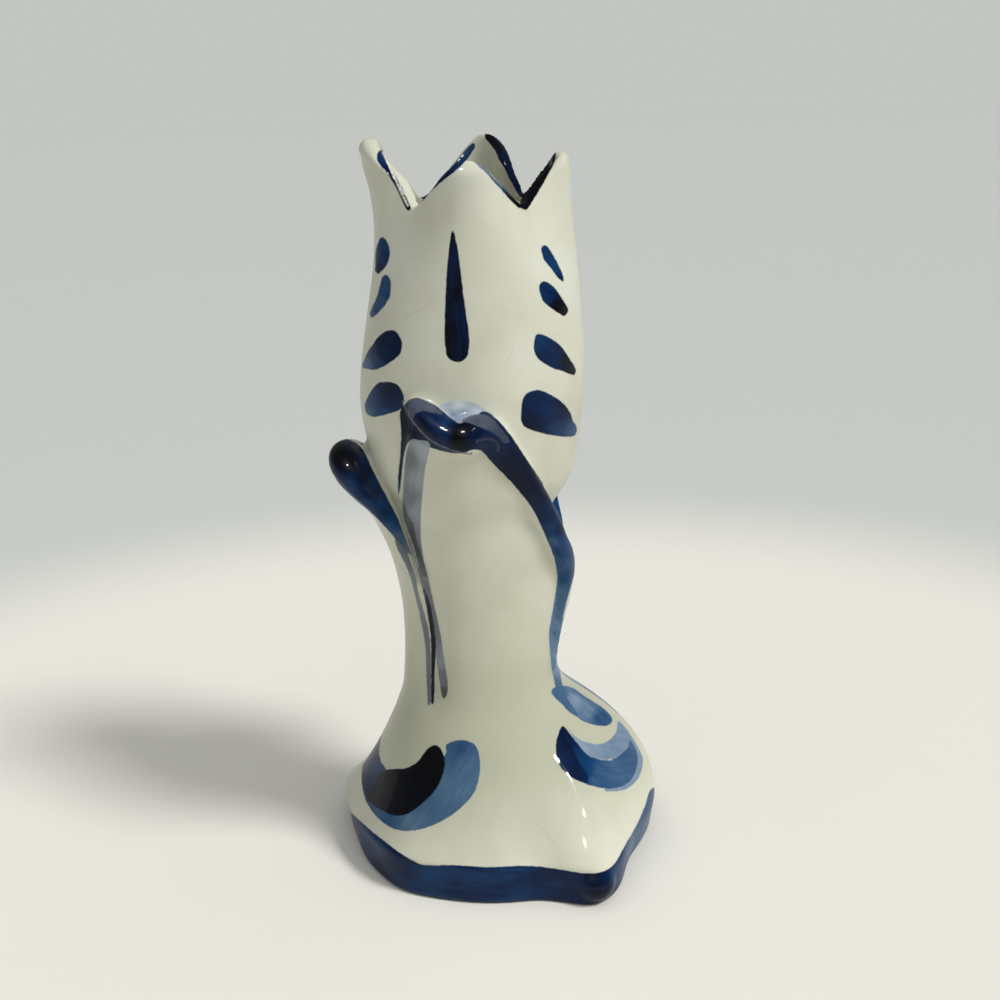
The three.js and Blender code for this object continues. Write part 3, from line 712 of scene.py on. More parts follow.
def patch(layer, outline, tones, body, grain, mottle, wide=None):
    """A painted area with its outline as the photograph shows it, or with wide a line of that half
    width in pixels. tones are (x, y, tone) marks, body is a field that is negative where the paint may lie,
    grain is the direction of the brush in the picture in degrees from level, and mottle how uneven the
    paint lies."""
    curve = rounded(outline)
    if wide is not None:
        curve = curve[:-OUTLINE_STEPS]
    low, high = curve.min(0) - PATCH_MARGIN, curve.max(0) + PATCH_MARGIN
    following = np.roll(curve, -1, 0)
    if wide is not None:
        curve, following = curve[:-1], following[:-1]
    span = following - curve
    length = np.maximum((span**2).sum(1), TINY)
    marks = np.array(tones, float)
    turn = math.radians(grain)
    for part in parts((out_of_sight < HIDDEN) & ((picture > low) & (picture < high)).all(1), PATCH_PART):
        at = picture[part]
        to = at[:, None] - curve[None]
        share = np.clip((to * span[None]).sum(2) / length[None], 0, 1)
        edge = np.linalg.norm(to - share[..., None] * span[None], axis=2).min(1)
        if wide is None:
            level = at[:, None, 1]
            crosses = (curve[None, :, 1] > level) != (following[None, :, 1] > level)
            rise = np.where(span[:, 1] == 0, TINY, span[:, 1])
            meet = curve[None, :, 0] + (level - curve[None, :, 1]) * (span[:, 0] / rise)[None]
            inside = (crosses & (at[:, None, 0] < meet)).sum(1) % 2 == 1
            edge = np.where(inside, -edge, edge)
        else:
            edge = edge - wide
        scale = depth[part] / FOCAL_PIXELS
        edge = np.maximum(edge * scale, out_of_sight[part])
        if body is not None:
            edge = np.maximum(edge, body[part])
        weight = 1 / (((at[:, None] - marks[None, :, :2]) ** 2).sum(2) + MARK_SOFTNESS) ** MARK_FADE
        tone = (weight * marks[None, :, 2]).sum(1) / weight.sum(1)
        x, y = (at * scale[:, None]).T
        run = np.stack([x * math.sin(turn) - y * math.cos(turn), x * math.cos(turn) + y * math.sin(turn),
                        np.full(len(part), marks[0, 0] * SEED_SHARE)], 1)
        lay(layer, part, edge, tone, run, mottle)


# The cup's strokes. The one down the middle of the front comes again, turned and raised, on the other sides
CENTRE = [(-9, 135.6, 0.3), (-9, 132, 0.95), (-9, 127, 1.5), (-8.6, 121, 2.0), (-8, 116, 2.4), (-8, 113.6, 2.2)]
CENTRE_TONES = (0.97, 0.9, 0.97)
CENTRE_PLACES = ((0, 0), (188, 2), (-82, 1), (98, 1))
for turn, rise in CENTRE_PLACES:
    stroke("ink", [(az + turn, z + rise, w) for az, z, w in CENTRE], CENTRE_TONES)
# The rungs of the back mirror the front's: the left ones with their tones, then the right ones
BACK_RUNGS = [
    ((0.72, 0.66, 0.6), [
        [(-56, 134.6, 0.7), (-58, 131.4, 2.0), (-60.5, 129.2, 1.7), (-62.5, 127.4, 0.6)],
        [(-55, 126.2, 1.1), (-57.5, 123.6, 2.0), (-63, 121.0, 1.5), (-71, 118.6, 0.35)],
        [(-49, 114.2, 2.6), (-55, 112.4, 2.6), (-64, 110.2, 1.9), (-76, 108.3, 0.5)],
        [(-46, 103.7, 2.8), (-52, 102.8, 2.8), (-60, 101.4, 2.2), (-67, 100.3, 1.1)],
    ]),
    ((0.84, 0.8, 0.97), [
        [(45, 132.0, 0.9), (48, 129.9, 1.4), (51.5, 128.0, 1.2), (60, 124.4, 0.3)],
        [(43.5, 123.8, 1.6), (48, 122, 1.9), (53, 120.2, 1.7), (57.5, 118.6, 1.0)],
        [(38.5, 113, 2.3), (43, 111.3, 2.6), (50, 109.3, 2.2), (55, 108, 1.5), (60.5, 106.5, 0.8)],
        [(32, 101.8, 2.9), (37, 100.7, 3.3), (45, 99.2, 3.2), (54, 97, 2.3), (62, 94.6, 1.1)],
    ]),
]
BACK_RISE = 0.5
for tones, rungs in BACK_RUNGS:
    for rung in rungs:
        stroke("blue", [(180 - az, z + BACK_RISE, w) for az, z, w in rung], tones)
LEFT_RUNGS = [
    [(383, 237), (386, 240), (389, 246), (390, 254), (388, 263), (385, 268), (381, 272), (378, 274), (375, 271),
     (375, 265), (375, 257), (376, 249), (378, 242), (380, 238)],
    [(386, 275), (389, 277), (391, 282), (391, 289), (390, 296), (386, 304), (381, 310), (375, 316), (372, 318),
     (370, 316), (370, 312), (373, 305), (377, 296), (379, 288), (381, 280), (383, 276)],
    [(390, 330), (395, 331), (399, 335), (402, 341), (402, 347), (400, 354), (395, 359), (388, 364), (381, 368),
     (373, 370), (367, 369), (362, 367), (364, 360), (367, 353), (372, 345), (378, 337), (384, 332)],
    [(383, 382), (391, 382), (398, 385), (402, 391), (404, 398), (403, 405), (401, 409), (395, 412), (388, 414),
     (381, 416), (373, 417), (367, 414), (365, 410), (365, 403), (368, 396), (373, 388), (378, 383)],
]
LEFT_TONES = [
    [(384, 250, 0.66), (386, 262, 0.66), (377, 269, 0.88)],
    [(387, 285, 0.6), (380, 302, 0.58), (373, 314, 0.6)],
    [(392, 340, 0.86), (388, 352, 0.78), (378, 360, 0.7), (367, 365, 0.5), (384, 338, 0.9)],
    [(390, 392, 0.9), (386, 402, 0.84), (396, 400, 0.8), (373, 404, 0.66), (370, 411, 0.54), (384, 412, 0.66)],
]
RIGHT_RUNGS = [
    [(545, 245), (548, 247), (552, 253), (556, 260), (560, 268), (563, 275), (564, 280), (563, 282), (559, 279),
     (554, 273), (549, 266), (544, 260), (542, 254), (541, 249), (543, 246)],
    [(544, 281), (549, 283), (555, 288), (560, 295), (565, 303), (568, 308), (568, 312), (565, 316), (561, 315),
     (555, 311), (548, 306), (543, 301), (540, 294), (539, 287), (541, 283)],
    [(537, 334), (544, 335), (552, 339), (559, 344), (565, 351), (570, 359), (574, 365), (576, 371), (574, 375),
     (569, 374), (562, 371), (554, 369), (545, 364), (538, 359), (534, 351), (534, 343), (535, 337)],
    [(532, 391), (539, 390), (548, 393), (558, 399), (566, 406), (571, 414), (573, 421), (576, 425), (577, 431),
     (574, 436), (566, 437), (556, 436), (545, 434), (534, 431), (525, 427), (521, 421), (521, 413), (522, 401),
     (526, 394)],
]
RIGHT_TONES = [
    [(547, 252, 0.74), (555, 266, 0.66), (562, 278, 0.8)],
    [(545, 289, 0.7), (548, 298, 0.74), (558, 305, 1.0), (565, 311, 1.0)],
    [(540, 342, 0.72), (548, 352, 0.8), (556, 362, 0.78), (566, 362, 0.98), (573, 371, 1.0)],
    [(528, 405, 0.84), (535, 425, 0.92), (550, 410, 0.76), (560, 424, 0.76), (566, 410, 0.88), (573, 431, 0.6)],
]
for rung, tones in zip(LEFT_RUNGS + RIGHT_RUNGS, LEFT_TONES + RIGHT_TONES):
    patch("blue", rung, tones, None, 30, 0.6)

# The knife-cut edges of the petals are painted, short of the rounded tips
top, tip, share = rim(azimuths)
SLOPE_HALF = 0.4
rise = rim(azimuths + SLOPE_HALF)[0] - rim(azimuths - SLOPE_HALF)[0]
slope = rise / (np.radians(2 * SLOPE_HALF) * np.maximum(radii, 1))
below = (top - heights) / np.hypot(1, slope)
inward = cup_radius(azimuths, np.minimum(heights, top)) - radii
# Depth and tone of the paint, how steeply it ends at its azimuths and at the tip, and millimetres in a degree
CUT_DEPTH = 0.55
CUT_TONE = 0.93
CUT_END_SLOPE = 0.35
CUT_TIP_SLOPE = 12
CUT_RUN = 0.35
OUTER_CUT = 225
# Azimuths from and to, bare outer side, bare inner side, bare share at the tip. The cut that starts at OUTER_CUT
# is painted on the side that the photograph shows too
CUT_EDGES = [(-45, 45, 1.2, 4.0, 0.12), (90, 135, 0.5, 4.0, 0.16), (135, 168, 0.3, 4.0, 0.0),
             (168, 225, 0.5, 4.0, 0.2), (225, 270, 0.4, 2.2, 0.24)]
for first, last, outer, inner, bare in CUT_EDGES:
    sideways = (np.abs(wrapped(azimuths - (first + last) / 2)) - (last - first) / 2) * CUT_END_SLOPE
    short = (bare - share) * CUT_TIP_SLOPE
    edge = np.max(np.stack([below - CUT_DEPTH, outer - inward, inward - inner, short, sideways]), 0)
    if first != OUTER_CUT:
        edge = np.maximum(edge, unseen)
    edge = np.where(heights > CUP_FOOT + FOLD_START, edge, FAR)
    lay("ink", EVERYWHERE, edge, CUT_TONE, np.stack([below, azimuths * CUT_RUN], 1))

# The leaves' rolled margins
# How far the paint reaches beyond a roll, and short of the cup
ROLL_MARGIN = 0.7
ROLL_SHORT = 0.4
DARK_ROLL = (0.9, 0.95, 0.9, 0.8, 0.7)
leaf_only = {name: NEAR[name] - NEAR["tulip_cup"] for name in NAMES}
for name, roll, tones in (("front_leaf", FRONT_ROLL, DARK_ROLL), ("left_leaf", LEFT_ROLL[3:], DARK_ROLL),
                          ("back_leaf", BACK_ROLL, (0.6, 0.8, 0.97, 0.8, 0.6))):
    within = leaf_only[name] - ROLL_SHORT
    stroke("ink", [(az, z, w + ROLL_MARGIN, r) for az, r, z, w in roll], tones,
           within if name == "back_leaf" else np.maximum(within, unseen))
# A line that runs down from the right to the oval on the foot
LINE_OVER_OVAL = [(92, 40.5, 0.5), (100, 37.6, 1.1), (104, 34.4, 1.6), (105.5, 31, 1.8), (104.5, 28, 1.6),
    (102, 25, 0.9)]
stroke("wash", LINE_OVER_OVAL, (0.4, 0.34, 0.4))

# The foot's strokes on the left end round behind the outline: azimuth, squeeze of the azimuths, height, radius
END_AZIMUTH, END_SQUEEZE, END_HEIGHT, END_RADIUS = -98, 0.8, 17.5, 7.8
left_end = np.hypot((azimuths - END_AZIMUTH) * END_SQUEEZE, heights - END_HEIGHT) - END_RADIUS
left_end = np.where(azimuths > END_AZIMUTH, -FAR, left_end)

# Areas from the cup's cut edges down to the foot: layer, outline, tones, where they may lie, grain, mottle
AREAS = {
    "cut_left": ("ink", [(377, 154), (379, 151), (383, 150), (385, 155), (389, 163), (394, 173), (400, 184),
     (405, 194), (409, 203), (411, 208), (409, 211), (406, 209), (403, 203), (398, 192), (392, 181), (386, 172),
     (380, 165), (377, 160)], [(380, 156, 0.75), (390, 175, 0.9), (408, 208, 1.0)], None, 60, 0.4),
    "cut_back": ("ink", [(485, 133), (489, 132), (495, 136), (502, 143), (510, 154), (517, 166), (523, 178),
     (529, 189), (530, 196), (525, 198), (518, 195), (514, 187), (509, 178), (504, 168), (499, 160), (495, 151),
     (489, 143), (485, 138)], [(490, 138, 0.95), (510, 165, 0.86), (525, 193, 0.92)], None, 60, 0.5),
    "cut_back_left": ("ink", [(474, 143), (475, 147), (471, 154), (465, 162), (457, 170), (449, 176), (437, 186),
     (424, 198), (422, 196), (434, 184), (445, 173), (454, 164), (462, 154), (469, 146)], [(470, 150, 0.7),
     (440, 180, 0.85)], None, -40, 0.4),
    "cut_right": ("ink", [(549, 151), (553, 149), (556, 154), (554, 164), (548, 175), (542, 186), (536, 196),
     (529, 207), (526, 210), (521, 208), (520, 202), (525, 193), (531, 183), (537, 171), (542, 160), (546, 153)],
     [(550, 156, 1.0), (530, 200, 1.0)], None, -60, 0.2),
    # painted shade: the cup's shaded inner face behind the front petal's right flank, darker towards the notch
    "painted_shade_behind_front_petal": ("ink", [(474, 161), (480, 165), (488, 171), (496, 180), (505, 189), (514, 198), (523, 206),
     (519, 208), (511, 201), (503, 192), (494, 182), (486, 173), (479, 167)], [(480, 168, 0.36), (495, 180, 0.5),
     (515, 203, 1.0)], None, 45, 0.3),
    "lip": ("ink", [(401, 413), (404, 406), (409, 400), (416, 398), (424, 400), (435, 405), (444, 412),
     (452, 419), (460, 423), (468, 418), (477, 415), (485, 411), (499, 421), (512, 437), (526, 458), (541, 480),
     (555, 503), (565, 522), (572, 539), (577, 555), (575, 572), (570, 590), (564, 613), (560, 641), (560, 668),
     (565, 693), (578, 715), (569, 712), (559, 698), (553, 676), (550, 654), (549, 632), (553, 608), (556, 588),
     (557, 575), (554, 558), (547, 540), (540, 524), (531, 507), (521, 494), (510, 481), (496, 467), (488, 458),
     (481, 451), (473, 450), (463, 453), (451, 453), (438, 450), (426, 446), (415, 439), (407, 428)],
     [(410, 410, 0.8), (422, 428, 0.95), (433, 422, 0.78), (443, 426, 0.7), (446, 437, 0.76), (456, 438, 1.0),
     (463, 428, 1.0), (478, 436, 0.88), (490, 425, 0.78), (490, 447, 0.82), (503, 440, 0.84), (515, 458, 0.93),
     (530, 478, 0.94), (540, 495, 0.92), (548, 515, 0.84), (552, 528, 0.7), (560, 528, 0.82), (553, 542, 0.54),
     (566, 548, 0.66), (560, 565, 0.5), (570, 575, 0.58), (562, 600, 0.44), (556, 625, 0.4), (553, 660, 0.37),
     (563, 700, 0.48)], leaf_only["front_leaf"] - 0.5, 55, 0.45),
    "lip_wash": ("wash", [(438, 408), (443, 404), (452, 401), (463, 400), (474, 403), (485, 409), (496, 417),
     (485, 415), (474, 416), (464, 421), (459, 424), (452, 420), (445, 412)], [(445, 406, 0.14), (458, 405, 0.06),
     (462, 415, 0.2), (456, 420, 0.24), (480, 410, 0.14)], None, 10, 0.3),
    # near-black paint on the front leaf's left side, with painted shade in the crevice under the lip's left lobe
    "crevice_ink_and_painted_shade": ("ink", [(403, 405), (400, 412), (400, 420), (401, 434), (400, 456), (398, 476), (398, 493),
     (400, 490), (402, 470), (405, 451), (410, 441), (420, 441), (418, 431), (412, 422), (408, 412)],
     [(403, 430, 0.95), (400, 470, 0.85), (398, 492, 0.6)], None, 90, 0.3),
    "stripe": ("lift", [(410, 441), (405, 462), (403, 489), (403, 514), (408, 539), (415, 560), (420, 580),
     (425, 600), (430, 622), (434, 645), (437, 665), (440, 685), (442, 697), (446, 697), (448, 687), (446, 670),
     (443, 652), (441, 636), (437, 617), (433, 600), (428, 578), (424, 560), (421, 539), (421, 514), (423, 489),
     (426, 465), (430, 444), (419, 440)], [(410, 460, 0.44), (426, 452, 0.22), (423, 480, 0.3), (409, 500, 0.46),
     (419, 510, 0.34), (412, 545, 0.48), (424, 570, 0.34), (430, 600, 0.44), (434, 625, 0.5), (440, 660, 0.36),
     (445, 680, 0.5), (445, 695, 0.9)], None, 85, 0.25),
    "left_band": ("blue", [(350, 440), (360, 446), (367, 457), (375, 474), (386, 495), (396, 514), (402, 529),
     (408, 545), (412, 556), (404, 548), (393, 536), (383, 525), (373, 515), (364, 511), (352, 506), (340, 496),
     (328, 485), (318, 470), (318, 450), (332, 434)], [(335, 452, 1.0), (350, 462, 1.0), (357, 448, 0.86),
     (362, 478, 0.9), (366, 458, 0.72), (376, 480, 0.7), (372, 495, 0.84), (386, 498, 0.66), (384, 515, 0.76),
     (352, 485, 0.66), (370, 503, 0.66), (394, 520, 0.6), (391, 527, 0.56), (398, 538, 0.42), (408, 552, 0.36)],
     leaf_only["left_leaf"] - 2.2, 55, 0.45),
    "left_strand": ("lift", [(395, 532), (401, 540), (406, 548), (410, 560), (415, 575), (418, 590), (422, 605),
     (427, 622), (430, 640), (431, 665), (431, 700), (428, 705), (427, 690), (426, 665), (425, 645), (421, 622),
     (416, 600), (411, 580), (404, 562), (396, 546)], [(402, 548, 0.55), (408, 560, 0.46), (414, 580, 0.4),
     (420, 605, 0.4), (427, 640, 0.46), (429, 690, 0.5)], None, 80, 0.4),
    "tail_line": ("top", [(422, 584), (426, 605), (429, 624), (431, 644), (431, 670), (431, 701), (434, 701),
     (435, 670), (436, 645), (434, 624), (430, 603), (426, 592)], [(422, 590, 0.7), (430, 620, 0.9),
     (434, 650, 1.0), (433, 690, 0.95)], None, 85, 0.4),
    "left_lobe_rim": ("lift", [(407, 404), (411, 399), (419, 398), (429, 402), (439, 409), (443, 414), (433, 413),
     (424, 411), (417, 413), (413, 418), (409, 412)], [(412, 402, 0.48), (430, 406, 0.5), (441, 411, 0.6)],
     leaf_only["front_leaf"], 30, 0.4),
    "right_crest": ("lift", [(461, 421), (469, 416), (480, 414), (491, 418), (501, 428), (510, 441), (504, 443),
     (496, 435), (484, 429), (477, 426), (469, 423)], [(466, 419, 0.5), (485, 418, 0.56), (503, 436, 0.66)],
     leaf_only["front_leaf"], 40, 0.4),
    "comma_wash": ("wash", [(446, 745), (454, 741), (463, 740), (474, 744), (479, 754), (480, 771), (475, 791),
     (464, 805), (449, 817), (431, 826), (411, 831), (394, 829), (381, 821), (371, 810), (364, 796), (362, 779),
     (364, 766), (370, 748), (381, 735), (379, 753), (384, 768), (399, 769), (422, 766), (444, 756)],
     [(460, 745, 0.52), (468, 765, 0.44), (455, 795, 0.4), (430, 812, 0.46), (405, 824, 0.4), (385, 818, 0.5),
     (370, 790, 0.6)], left_end, -60, 0.5),
    "comma_streak": ("blue", [(381, 735), (373, 743), (366, 754), (362, 769), (362, 784), (366, 797), (370, 801),
     (375, 787), (381, 773), (386, 769), (381, 761), (379, 749)], [(378, 742, 0.74), (370, 760, 0.84),
     (366, 780, 0.8), (378, 765, 0.66)], left_end, -70, 0.5),
    "comma_black": ("ink", [(436, 745), (442, 751), (445, 761), (443, 774), (436, 789), (424, 802), (411, 812),
     (398, 816), (385, 812), (372, 804), (368, 795), (375, 784), (381, 772), (393, 769), (406, 768), (418, 761),
     (427, 749)], [(400, 790, 1.0), (435, 755, 1.0), (380, 795, 0.97)], left_end, -40, 0.15),
    "oval": ("wash", [(551, 691), (558, 686), (571, 687), (586, 697), (602, 707), (611, 716), (612, 722),
     (606, 726), (594, 725), (581, 720), (568, 709), (556, 699)], [(560, 692, 0.44), (575, 700, 0.3),
     (588, 712, 0.36), (600, 718, 0.56), (580, 690, 0.46)], None, 40, 0.6),
    "halo": ("wash", [(567, 727), (575, 736), (586, 742), (599, 744), (609, 740), (616, 732), (618, 721),
     (624, 726), (634, 740), (641, 753), (643, 762), (639, 777), (630, 787), (619, 791), (604, 790), (610, 775),
     (612, 760), (604, 760), (591, 757), (579, 747)], [(590, 750, 0.27), (620, 745, 0.33), (635, 770, 0.3),
     (610, 785, 0.3)], None, 30, 0.4),
    "crescent": ("blue", [(563, 726), (558, 735), (556, 746), (557, 759), (563, 770), (573, 778), (586, 784),
     (601, 788), (616, 788), (628, 783), (635, 773), (638, 761), (636, 749), (630, 740), (628, 747), (620, 755),
     (611, 760), (599, 759), (588, 755), (578, 744), (571, 735)], [(560, 745, 0.84), (566, 765, 0.72),
     (580, 775, 0.62), (600, 775, 0.5), (625, 765, 0.5)], None, 25, 0.5),
    "wedge": ("ink", [(563, 726), (558, 735), (556, 746), (557, 759), (563, 770), (573, 778), (586, 783),
     (588, 776), (583, 768), (575, 753), (570, 740)], [(562, 735, 0.86), (562, 760, 0.76), (580, 778, 0.8)], None,
     60, 1),
}
for area in AREAS.values():
    patch(*area)
# Painted highlights over the rest, a white line along the left petal's glossy cut edge and one down a leaf's
# edge, and two grey lines: outline, half width in pixels, tone
LINES = {
    # painted highlight: a near-white line along the glossy cut edge of the left petal
    "cut_edge_painted_highlight": ([(384, 154), (388, 163), (392, 172), (397, 183), (402, 194), (407, 204)], 1.2, 0.0),
    "bowl_line": ([(407, 403), (407, 411), (411, 419), (419, 429), (430, 440), (446, 448), (459, 452),
     (469, 450)], 0.8, 0.45),
    "scroll": ([(477, 443), (481, 440), (488, 439), (495, 441), (498, 446), (496, 451)], 1.5, 0.72),
    # painted highlight: a near-white line down the edge of the leaf's margin
    "leaf_edge_painted_highlight": ([(394, 502), (401, 515), (407, 531), (413, 548), (417, 565)], 1.2, 0.06),
}
for outline, wide, tone in LINES.values():
    patch("top", outline, [(*outline[0], tone)], None, 45, 0.5, wide)

# The band round the foot, lower where the foot tucks in on the right
# Its tone, millimetres in a radian, how far its streaks reach beyond it, and its upper edge over the azimuths
BAND_TONE = 0.76
BAND_RUN = 30
BAND_BORDER = 1
BAND_TOP = [[-180, 8.2], [-140, 8.0], [-115, 6.4], [-98, 5.4], [-80, 7.4], [-60, 8.2], [30, 8.2], [60, 6.4],
            [90, 7.2], [130, 8.2], [180, 8.2]]
band_edge = np.maximum(heights - through(BAND_TOP)(azimuths), unseen)
blue, in_band = paint["blue"], band_edge < BAND_BORDER
blue["tone"][band_edge < blue["edge"]] = BAND_TONE
blue["edge"] = np.minimum(blue["edge"], band_edge)
blue["run"][in_band, 0] = heights[in_band]
blue["run"][in_band, 1] = np.radians(azimuths[in_band]) * BAND_RUN
BAND = [(334, 788), (345, 806), (354, 815), (364, 824), (373, 832), (386, 842), (399, 852), (414, 861),
    (426, 865), (455, 865), (488, 867), (512, 866), (535, 866), (558, 869), (584, 873), (601, 872), (614, 864),
    (625, 845), (637, 824), (645, 805), (651, 789), (662, 790), (662, 815), (652, 838), (640, 862), (634, 885),
    (628, 905), (612, 922), (590, 928), (538, 920), (472, 915), (406, 910), (360, 880), (335, 830)]
BAND_TONES = [(352, 825, 0.7), (375, 845, 0.74), (385, 870, 0.86), (405, 865, 0.8), (430, 885, 0.68),
    (470, 885, 0.76), (520, 885, 0.74), (545, 880, 0.8), (575, 890, 0.82), (600, 890, 0.92), (622, 875, 0.72),
    (640, 840, 0.55)]
patch("blue", BAND, BAND_TONES, None, 3, 0.8)

# The same motifs again on the side that the photograph doesn't show
BACK_COMMAS = [
    ("wash", [(214, 30, 1.6), (206, 24, 3.4), (194, 18.5, 4.4), (180, 16, 4.4), (166, 18.5, 3.6), (158, 24, 1.6)],
     (0.5, 0.42, 0.5)),
    ("ink", [(206, 26, 1.4), (198, 22, 2.8), (186, 19.4, 2.6), (172, 20.5, 1.2)], (1.0, 0.97)),
    ("wash", [(131, 27, 1.2), (127, 21, 2.8), (120, 17, 3.2), (112, 16.2, 2.4), (106, 17.2, 1.0)],
     (0.34, 0.5, 0.34)),
    ("blue", [(128, 23, 1.0), (123, 18.8, 1.9), (116, 17.2, 1.6), (110, 17.4, 0.7)], (0.7, 0.6)),
]
for layer, stops, tones in BACK_COMMAS:
    stroke(layer, stops, tones, unseen)


def srgb(*values):
    v = np.array(values, float) / 255
    return (*np.where(v <= 0.04045, v / 12.92, ((v + 0.055) / 1.055) ** 2.4), 1.0)


class Nodes:
    """The nodes of a material or world. A value is a number, a colour or another node's output."""

    def __init__(self, owner):
        owner.use_nodes = True
        self.tree = owner.node_tree

    def feed(self, node, inputs):
        node = self.tree.nodes[node] if isinstance(node, str) else node
        for key, value in inputs.items():
            if isinstance(value, bpy.types.NodeSocket):
                self.tree.links.new(value, node.inputs[key])
            else:
                node.inputs[key].default_value = value

    def add(self, kind, inputs, **settings):
        node = self.tree.nodes.new("ShaderNode" + kind)
        for key, value in settings.items():
            setattr(node, key, value)
        self.feed(node, inputs)
        return node.outputs

    def math(self, operation, *values, clamp=False):
        return self.add("Math", dict(enumerate(values)), operation=operation, use_clamp=clamp)[0]

    def times(self, a, b):
        return self.math("MULTIPLY", a, b)

    def swing(self, noise, size):
        """A noise about its middle, times a size."""
        return self.times(self.math("SUBTRACT", noise, 0.5), size)

    def step(self, value, low, high):
        """1 below low, 0 above high."""
        return self.add("MapRange", {0: value, 1: low, 2: high, 3: 1, 4: 0}, interpolation_type="SMOOTHSTEP")[0]

    def attribute(self, name, output="Fac"):
        return self.add("Attribute", {}, attribute_name=name)[output]

    def noise(self, vector, scale, detail=2.0, rough=0.5):
        return self.add("TexNoise", {"Vector": vector, "Scale": scale, "Detail": detail, "Roughness": rough})

    def cells(self, vector, scale, **settings):
        return self.add("TexVoronoi", {"Vector": vector, "Scale": scale}, **settings)

    def scaled(self, vector, scale):
        return self.add("Mapping", {"Vector": vector, "Scale": scale})[0]

    def mix(self, factor, a, b):
        return self.add("Mix", {0: factor, 6: a, 7: b}, data_type="RGBA")[2]

    def ramp(self, value, stops):
        node = self.tree.nodes.new("ShaderNodeValToRGB")
        elements = node.color_ramp.elements
        while len(elements) < len(stops):
            elements.new(0.5)
        for element, (at, *colour) in zip(elements, stops):
            element.position = at
            element.color = srgb(*colour)
        self.feed(node, {0: value})
        return node.outputs[0]


# Ramps of a place and a colour: the bare glaze, the cobalt, and what shows thin or grey over the cobalt
BARE = [(0.3, 204, 204, 185), (0.52, 215, 215, 197), (0.72, 222, 223, 208)]
COBALT = [(0.0, 232, 233, 226), (0.1, 190, 201, 207), (0.2, 148, 163, 180), (0.4, 78, 108, 138),
          (0.6, 14, 62, 106), (0.8, 0, 28, 68), (1.0, 0, 1, 4)]
GREY = [(0.0, 232, 233, 226), (0.2, 160, 170, 178), (0.45, 94, 101, 116), (0.7, 48, 56, 74), (1.0, 2, 4, 8)]
# Pooled glaze with painted shade: a darker, greener tint in the hollows
POOLED_GLAZE_AND_SHADE = srgb(190, 192, 170)
# Painted shade round the waist above the foot
WAIST_PAINTED_SHADE = srgb(172, 174, 150)
CRAZED_GLAZE = srgb(172, 168, 146)
SPECK = srgb(120, 110, 88)
POOL_AND_SHADE_COVER = 0.5
CRAZE_COVER = 0.2
SPECK_COVER = 0.55
SPECK_CHANCE = 0.975
LIFT_COVER = 0.88
# Painted shade, darker round the waist above the foot where the stem flares out: height, share
WAIST_PAINTED_SHADE_SHARE = through([[0, 0.05], [10, 0.08], [18, 0.4], [26, 0.68], [36, 0.68], [44, 0.55], [54, 0.2],
                           [66, 0.02], [84, 0], [160, 0]])
# The edge of the paint, ragged and soft: size of the noise, then where it is whole and where it ends
RAGGED = 0.3
PAINT_EDGE = (-0.16, 0.12)
# Scales of the textures
CLOUDS, WAVES, CRACKS, CRAZED_AREAS, GRAINS, RAGS, WEAR, BUMPS = 45, 70, 62, 30, 210, 900, 120, 160
WAVE_SIZE = (0.012, 0.012, 0.012)
CRACK_EDGE = (0.002, 0.011)
CRAZED_EDGE = (0.5, 0.62)
GRAIN_EDGE = (0.03, 0.075)
CRACK_SQUEEZE = (1, 1, 0.55)
# Streaks and blots of the brush: scale across, along and from stroke to stroke, and strength
STREAKS, STREAK_SIZE = (1.6, 0.12, 0.3), 0.3
BLOTS, BLOT_SIZE = (0.25, 0.12, 0.3), 0.4
ROUGHNESS_SWING, ROUGHNESS = 0.16, 0.32
COAT = {"Coat Weight": 0.27, "Coat Roughness": 0.03, "Coat IOR": 1.5, "Specular IOR Level": 0.05}
BUMP = {"Strength": 0.12, "Distance": 0.0004}


